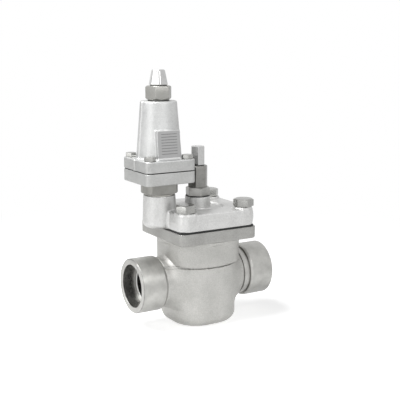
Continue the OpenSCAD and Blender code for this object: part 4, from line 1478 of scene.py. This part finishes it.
@dataclass
class PilotValve:
    """Pilot on the cover: lower body, spring housing, gland and seal cap.

    Attributes:
        pad_proud: How far the label's pad stands out from the cone.
        nipple: Radius, low end and high end, as for the spigot and every hollow after it.
        ring_z: Height of the O-ring's groove, whose half width and inner radius come next.
        stem_r: Radius of the gland's bore for the setting spindle.
        gland_room: Height up to which the gland's bore is wide.
    """

    flange_w: float = 54.0
    corner: float = 5.0
    hex_z: float = 135.6
    hex_flats: float = 26.0
    hex_r: float = 18.3
    hex_turn: float = -4.0
    low_z: float = 147.7
    low_top: float = 159.4
    up_z: float = 160.2
    up_top: float = 171.3
    cone_r: float = 22.4
    cone_top_r: float = 17.94
    housing_top: float = 227.0
    pad_w: float = 25.0
    pad_top: float = 199.8
    pad_proud: float = 0.1
    bolt_at: float = 20.5
    gland_z: float = 228.5
    gland_top: float = 241.5
    gland_flats: float = 23.0
    gland_turn: float = 50.5
    neck_r: float = 5.45
    neck_top: float = 247.0
    cap_z: float = 242.0
    cap_top: float = 257.0
    cap_flats: float = 17.6
    cap_top_flats: float = 12.0
    cap_turn: float = 13.0
    body_step: float = 0.65
    housing_step: float = 0.65
    nipple: Span = (11.94, 117.0, 136.6)
    spigot: Span = (6.0, 106.0, 118.0)
    diaphragm_room: Span = (19.0, 153.0, 162.0)
    orifice_bore: Span = (5.5, 146.0, 154.0)
    supply_bore: Span = (2.5, 105.0, 154.0)
    body_hole: Span = (3.05, 146.0, 162.0)
    return_bore: Span = (1.2, 116.0, 154.0)
    return_y: float = 8.6
    plate_room: Span = (17.5, 158.0, 185.3)
    spring_room: Span = (14.8, 184.0, 214.0)
    stem_hole: Span = (5.0, 213.0, 229.0)
    gland_bore: Span = (8.05, 222.0, 229.0)
    housing_hole: Span = (3.4, 158.0, 174.0)
    ring_z: float = 110.6
    ring_half: float = 1.2
    ring_r: float = 4.4
    stem_r: float = 3.52
    seal_recess: Span = (5.2, 234.0, 236.4)
    gland_bore_r: float = 5.35
    gland_foot: float = 222.02
    gland_seat: float = 227.82
    gland_room: float = 231.0

    @property
    def slope(self) -> float:
        """Fall of the housing's radius over its height."""
        return (self.cone_r - self.cone_top_r) / (self.housing_top - self.up_top)

    def body(self, p: np.ndarray) -> np.ndarray:
        """Distance to the pilot's lower body."""
        q = p - np.array([PILOT_X, 0, 0])
        x, y, z = q.T
        flange = plan_square(x, y, self.flange_w, self.corner)
        flange = round_cut(flange, slab(z, self.low_z, self.low_top), 0.7)
        a = math.radians(self.hex_turn)
        across = np.abs(-math.sin(a) * x + math.cos(a) * y) - self.hex_flats / 2
        lower = (z - self.hex_z) * math.tan(math.radians(60)) + self.hex_r - 2.6
        radius = np.hypot(x, y)
        nipple = np.maximum(radius - self.hex_r, (radius - lower) * 0.87)
        nipple = round_cut(nipple, across, 0.25)
        nipple = round_cut(nipple, slab(z, self.hex_z, self.low_z + 3), 0.2)
        out = round_union(flange, nipple, 0.8)
        out = np.minimum(out, drum(q, 0, 0, *self.nipple))
        out = np.minimum(out, drum(q, 0, 0, *self.spigot))
        rooms = [drum(q, 0, 0, *bore) for bore in (self.diaphragm_room, self.orifice_bore, self.supply_bore)]
        rooms += [drum(q, cx * self.bolt_at, cy * self.bolt_at, *self.body_hole) for cx, cy in CORNERS]
        rooms += [drum(q, 0, side * self.return_y, *self.return_bore) for side in (-1, 1)]
        groove = np.maximum(np.abs(z - self.ring_z) - self.ring_half, self.ring_r - radius)
        rooms.append(np.maximum(groove, radius - self.spigot[0] - 1))
        return round_cut(out, -np.minimum.reduce(rooms), 0.2)

    def housing(self, p: np.ndarray) -> np.ndarray:
        """Distance to the spring housing."""
        q = p - np.array([PILOT_X, 0, 0])
        x, y, z = q.T
        flange = plan_square(x, y, self.flange_w, self.corner)
        rib = np.hypot(np.abs(x) - (self.flange_w / 2 - 0.3), y) - 1.4
        flange = round_union(flange, rib, 0.8)
        flange = round_cut(flange, self.up_z - z, 0.5)
        flange = round_cut(flange, z - self.up_top, 1.3)
        cone_r = self.cone_r - self.slope * (z - self.up_top)
        cone = (np.hypot(x, y) - cone_r) * math.cos(math.atan(self.slope))
        seam = np.hypot((np.abs(x) - (cone_r - 0.45)) * 0.8, y) - 0.95
        cone = round_union(cone, seam, 1.0)
        pad = round_cut(np.abs(x) - self.pad_w / 2, -y - (cone_r + self.pad_proud), 0.4)
        pad = round_cut(np.maximum(pad, y), z - self.pad_top, 0.6)
        cone = round_union(cone, pad, 0.8)
        cone = round_cut(cone, slab(z, self.up_z + 3, self.housing_top), 1.5)
        out = round_union(flange, cone, 2.2)
        bores = (self.plate_room, self.spring_room, self.stem_hole, self.gland_bore)
        rooms = [drum(q, 0, 0, *bore) for bore in bores]
        rooms += [drum(q, cx * self.bolt_at, cy * self.bolt_at, *self.housing_hole) for cx, cy in CORNERS]
        return round_cut(out, -np.minimum.reduce(rooms), 0.3)

    def gland(self) -> MeshData:
        """Skins the gland's hexagon with its collar and neck."""
        stack = RingStack(hexagon_plan(self.gland_flats, self.gland_turn, 0.3), PILOT_X)
        stack.turned([(self.gland_bore_r, self.gland_foot), (7.2, self.gland_foot), (7.94, 222.8),
                      (7.94, self.gland_seat), (10.3, self.gland_seat), (10.56, 228.0),
                      (10.58, self.gland_z - 0.1)])
        stack.chamfered(self.gland_z, self.gland_flats * 0.485, False)
        stack.chamfered(self.gland_top, self.gland_flats * 0.48, True)
        root = self.neck_r - 0.45
        end = self.neck_top - 0.02
        wide, low, high = self.seal_recess
        stack.turned([(root, self.gland_top), (root, self.neck_top - 0.5), (root - 0.3, end),
                      (self.stem_r, end), (self.stem_r, high), (wide, high), (wide, low), (self.stem_r, low),
                      (self.stem_r, self.gland_room), (self.gland_bore_r, self.gland_room)])
        return stack.mesh()

    def cap(self) -> MeshData:
        """Skins the tapered seal cap with its rounded corners and crown."""
        height = self.cap_top - self.cap_z
        stack = RingStack(hexagon_plan(self.cap_flats, self.cap_turn, 2.5, 10), PILOT_X)
        lean = (self.cap_flats - self.cap_top_flats) / self.cap_flats / height
        stack.turned([(5.52, self.cap_z + 0.4), (5.9, self.cap_z), (7.6, self.cap_z)])
        foot = ((0.0, 0.09), (0.25, 0.04), (0.7, 0.01), (1.1, 0.0), (1.2, 0.0), (6.0, 0.0))
        crown = ((1.5, 0.0), (1.4, 0.0), (0.9, 0.015), (0.45, 0.05), (0.15, 0.11), (0.02, 0.18))
        for rise, inset in (*foot, *((height - drop, inset) for drop, inset in crown)):
            stack.outline(self.cap_z + rise, 1 - lean * rise - inset)
        roof = self.cap_top - 4.5
        stack.turned([(3.6, self.cap_top), (0.02, self.cap_top), (0.02, roof), (3.8, roof), (3.8, 247.5),
                      (5.52, 247.5)])
        return stack.mesh()

    def label(self) -> MeshData:
        """Skins the label plate, which has no lettering, on the housing's pad."""
        low, high, thick, corner = self.up_top + 2.4, self.pad_top - 0.7, 0.5, 0.7
        half = self.pad_w / 2 - 0.5
        outline = []
        for cx, cz, start in ((half, high, 0), (-half, high, 90), (-half, low, 180), (half, low, 270)):
            for k in range(7):
                a = math.radians(start + 15 * k)
                outline.append((cx - math.copysign(corner, cx) + corner * math.cos(a),
                                cz - (corner if cz == high else -corner) + corner * math.sin(a)))
        plan = np.array(outline)
        stack = RingStack(plan)
        middle = plan.mean(0)
        for scale, lift in ((0.02, -0.3), (1.0, -0.3), (1.0, thick - 0.08), (0.996, thick), (0.02, thick)):
            shape = middle + (plan - middle) * scale
            depth = self.cone_r + self.pad_proud - self.slope * (shape[:, 1] - self.up_top) + lift
            stack.rings.append(np.stack([shape[:, 0] + PILOT_X, -depth, shape[:, 1]], 1))
        return stack.mesh(loop=False)

    def build(self) -> list[Piece]:
        """Builds the pilot from its thread up."""
        x0, x1 = PILOT_X - 29, PILOT_X + 29
        low_shape = mesh_field(self.body, (x0, -28, 105), (x1, 28, 161), self.body_step)
        body = dressed("pilot_casting", low_shape, Finish.PILOT)
        dress_where(body, Finish.NIPPLE, lambda c: c[:, 2] < self.low_z - 0.3)
        up_shape = mesh_field(self.housing, (x0, -28, 159), (x1, 28, 228), self.housing_step)
        housing = dressed("housing_casting", up_shape, Finish.HOUSING)
        dress_where(housing, Finish.PILOT, lambda c: c[:, 2] < self.up_top - 0.9)
        plate = dressed("bare_label_plate", self.label(), Finish.LABEL, 30)
        gland = dressed("pilot_gland_milled", self.gland(), Finish.GLAND, 28)
        thread = wound_thread("pilot_neck_thread", PILOT_X, self.neck_r, self.gland_top + 0.6,
                              self.neck_top - 0.7, Finish.GLAND)
        cap = dressed("pilot_cap_plated", self.cap(), Finish.CHROME, 28)
        return [
            Piece(body, "valve", "pilot_body", ("pilot_body",)),
            Piece(housing, "valve", "spring_housing", ("spring_housing",)),
            Piece(plate, "valve", "spring_housing"),
            Piece(gland, "valve", "pilot_gland", ("pilot_gland",)),
            Piece(thread, "valve", "pilot_gland"),
            Piece(cap, "pilot_cap", "pilot_cap", ("pilot_cap",)),
        ]


# Studio


@dataclass(frozen=True)
class Lamp:
    """Square soft light that faces the valve.

    Attributes:
        name: Its name.
        azimuth: Turn from the front, in degrees.
        elevation: Height angle, in degrees.
        size: Side of the square, in metres.
        power: Watts.
    """

    name: str
    azimuth: float
    elevation: float
    size: float
    power: float


@dataclass
class Studio:
    """Camera, soft lights and a plain pale floor.

    Attributes:
        azimuth: Camera's turn from the front, in degrees.
        elevation: Camera's height angle, in degrees.
        distance: Camera to target, in metres.
        shift_right: Target's shift to the right of the axis, in metres.
        target_z: Target's height, in metres.
        lens: Focal length, in millimetres.
        room: Strength of the room's own light.
        near_glow: How far the floor near the valve is lifted towards white.
        floor_side: Half the floor's side, in metres.
        floor_z: Height of the floor, just under the valve, in metres.
        fade: Where the floor starts and ends to turn white, from the valve, in metres.
        wall: Radius and height of the white wall behind the valve, in metres.
        wall_turns: Where the wall starts and ends, in degrees from the front.
        wall_panels: Number of flat panels that the wall is made of.
        lamp_distance: Distance of every lamp from its target, in metres.
        lamp_z: Height of the lamps' target, in metres.
        lamps: The lamps.
    """

    azimuth: float = -30.52
    elevation: float = 10.83
    distance: float = 0.85
    shift_right: float = 0.0023
    target_z: float = 0.12431
    lens: float = 74.916
    room: float = 0.1
    near_glow: float = 0.65
    floor_side: float = 6.0
    floor_z: float = -0.0004
    fade: tuple[float, float] = (0.12, 0.6)
    wall: tuple[float, float] = (3.0, 0.4)
    wall_turns: tuple[float, float] = (105, 195)
    wall_panels: int = 30
    lamp_distance: float = 1.3
    lamp_z: float = 0.1
    lamps: tuple[Lamp, ...] = (
        Lamp("top", -100, 60, 0.7, 18.0),
        Lamp("left_card", -78, 11, 0.6, 2.0),
        Lamp("front", -28, 10, 0.55, 0.7),
        Lamp("fill", 6, 32, 0.6, 3.6),
    )

    def _point(self, azimuth: float, elevation: float, distance: float) -> np.ndarray:
        """Place at a distance from the target in a direction."""
        a, e = math.radians(azimuth), math.radians(elevation)
        back = np.array([math.sin(a) * math.cos(e), -math.cos(a) * math.cos(e), math.sin(e)])
        return back * distance

    def camera(self) -> None:
        """Places the camera at the photograph's viewing angle."""
        a = math.radians(self.azimuth)
        right = np.array([math.cos(a), math.sin(a), 0.0])
        target = right * self.shift_right + np.array([0, 0, self.target_z])
        data = bpy.data.cameras.new("camera")
        data.lens = self.lens
        data.sensor_width = 36.0
        data.clip_start = 0.01
        obj = bpy.data.objects.new("camera", data)
        obj.location = target + self._point(self.azimuth, self.elevation, self.distance)
        obj.rotation_euler = (math.radians(90 - self.elevation), 0.0, a)
        bpy.context.scene.collection.objects.link(obj)
        bpy.context.scene.camera = obj

    def lamp(self, lamp: Lamp) -> None:
        """Hangs one lamp."""
        data = bpy.data.lights.new(lamp.name, "AREA")
        data.shape = "SQUARE"
        data.size = lamp.size
        data.energy = lamp.power
        obj = bpy.data.objects.new(lamp.name, data)
        place = self._point(lamp.azimuth, lamp.elevation, self.lamp_distance)
        obj.location = place + np.array([0, 0, self.lamp_z])
        obj.rotation_euler = (math.radians(90 - lamp.elevation), 0.0, math.radians(lamp.azimuth))
        bpy.context.scene.collection.objects.link(obj)

    def world(self) -> None:
        """White to the camera and in metal and glass, a dim room to all other light."""
        world = bpy.data.worlds.new("studio")
        bpy.context.scene.world = world
        world.use_nodes = True
        sky = Nodes(world.node_tree)
        room = sky.node("ShaderNodeBackground", (0.97, 0.98, 1.0, 1.0), self.room)
        white = sky.node("ShaderNodeBackground", WHITE)
        mix = sky.node("ShaderNodeMixShader", sky.looked_at(), room.outputs[0], white.outputs[0])
        sky.node("ShaderNodeOutputWorld", mix.outputs[0])

    def _surface(self, name: str, verts: list, faces: list, material: bpy.types.Material) -> None:
        """Stages one plain surface of the studio.

        Args:
            name: Its name.
            verts: Vertices in metres.
            faces: Faces.
            material: Its material.
        """
        mesh = bpy.data.meshes.new(name)
        mesh.from_pydata(verts, [], faces)
        mesh.materials.append(material)
        obj = stand(name, mesh)

    def floor(self) -> None:
        """Lays a plain pale floor that keeps the valve's shadow and ends in white."""
        g = Graph("pale_floor")
        reach = g.vector("LENGTH", g.node("ShaderNodeTexCoord").outputs["Object"])
        far = g.node("ShaderNodeMapRange", reach, *self.fade, interpolation_type="SMOOTHSTEP")
        paint = g.node("ShaderNodeBsdfDiffuse", Color=PALE).outputs[0]
        near = g.node("ShaderNodeAddShader", paint, g.glow(self.near_glow)).outputs[0]
        seen = g.node("ShaderNodeMixShader", far.outputs["Result"], near, g.glow(1.0)).outputs[0]
        verts = [(x * self.floor_side, y * self.floor_side, self.floor_z) for x, y in CORNERS]
        self._surface("floor", verts, [(0, 1, 2, 3)], g.background(seen))

    def backdrop(self) -> None:
        """Stands a low white wall round the back, which the metal shows too."""
        radius, height = self.wall
        count = self.wall_panels + 1
        turns = np.radians(np.linspace(*self.wall_turns, count))
        foot = np.stack([radius * np.sin(turns), -radius * np.cos(turns), np.full(count, self.floor_z)], 1)
        verts = np.concatenate([foot, foot + [0, 0, height]]).tolist()
        faces = [(k, k + 1, k + count + 1, k + count) for k in range(self.wall_panels)]
        g = Graph("white_backdrop")
        self._surface("backdrop", verts, faces, g.background(g.glow(1.0)))

    def build(self) -> None:
        """Sets up the whole studio."""
        self.camera()
        self.world()
        self.floor()
        self.backdrop()
        for lamp in self.lamps:
            self.lamp(lamp)
        bpy.context.scene.view_settings.view_transform = "Standard"


NODE_FINISH: dict[Finish, tuple[str, ...]] = {
    Finish.BODY: ("valve_body",),
    Finish.COVER: ("top_cover",),
    Finish.HOUSING: ("spring_housing",),
    Finish.PILOT: ("pilot_body",),
    Finish.GLAND: ("pilot_gland",),
    Finish.NUT: ("gland_nut", "module_cylinder", "main_piston", "throttle_cone", "spindle_foot",
                 "pressure_plate", "spring_plate"),
    Finish.BUSHING: ("spindle_bushing",),
    Finish.SPINDLE: ("manual_spindle", "setting_spindle", "piston_stem", "pilot_diaphragm"),
    Finish.BOLT: ("cover_bolts", "pilot_bolts", "piston_nut", "cone_nut"),
    Finish.CHROME: ("pilot_cap",),
    Finish.NICKEL: ("spindle_cap",),
    Finish.GASKET: ("cover_gasket", "diaphragm_gasket", "bushing_gasket", "spindle_cap_gasket",
                    "pilot_gland_gasket", "pilot_cap_gasket"),
    Finish.RUBBER: ("module_upper_oring", "module_lower_oring", "pilot_oring", "spindle_seal"),
    Finish.PLASTIC: ("piston_ring", "valve_plate", "spindle_packing"),
    Finish.RING: ("pilot_gasket",),
    Finish.SPRING: ("main_spring", "setting_spring"),
    Finish.BRONZE: ("pilot_orifice",),
}


def dress_nodes(nodes: dict[str, bpy.types.Object]) -> None:
    """Gives the model's own nodes their finishes."""
    for finish, names in NODE_FINISH.items():
        for name in names:
            for slot in nodes[name].material_slots:
                slot.material = finish.material
            LOG.info("%s: %s", name, finish.value.name)


def main() -> None:
    """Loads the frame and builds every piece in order."""
    logging.basicConfig(level=logging.INFO, format="%(name)s: %(message)s")
    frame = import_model()
    Studio().build()
    dress_nodes(frame["nodes"])
    cover_bolts = BoltSet("cover_bolts", x=0.0, spacing=33.59, shank_r=5.95, flats=18.0, head=7.8, low=89.2,
                          seat=120.6, turns=(4, 22, 47, 33))
    pilot_bolts = BoltSet("pilot_bolts", x=PILOT_X, spacing=20.5, shank_r=2.95, flats=10.0, head=4.08,
                          low=149.2, seat=171.3, turns=(28, 12, 41, 7))
    for builder in (ValveBody(), TopCover(), cover_bolts, HandSpindle(), PilotValve(), pilot_bolts):
        for piece in builder.build():
            piece.place()


if __name__ == "__main__":
    main()
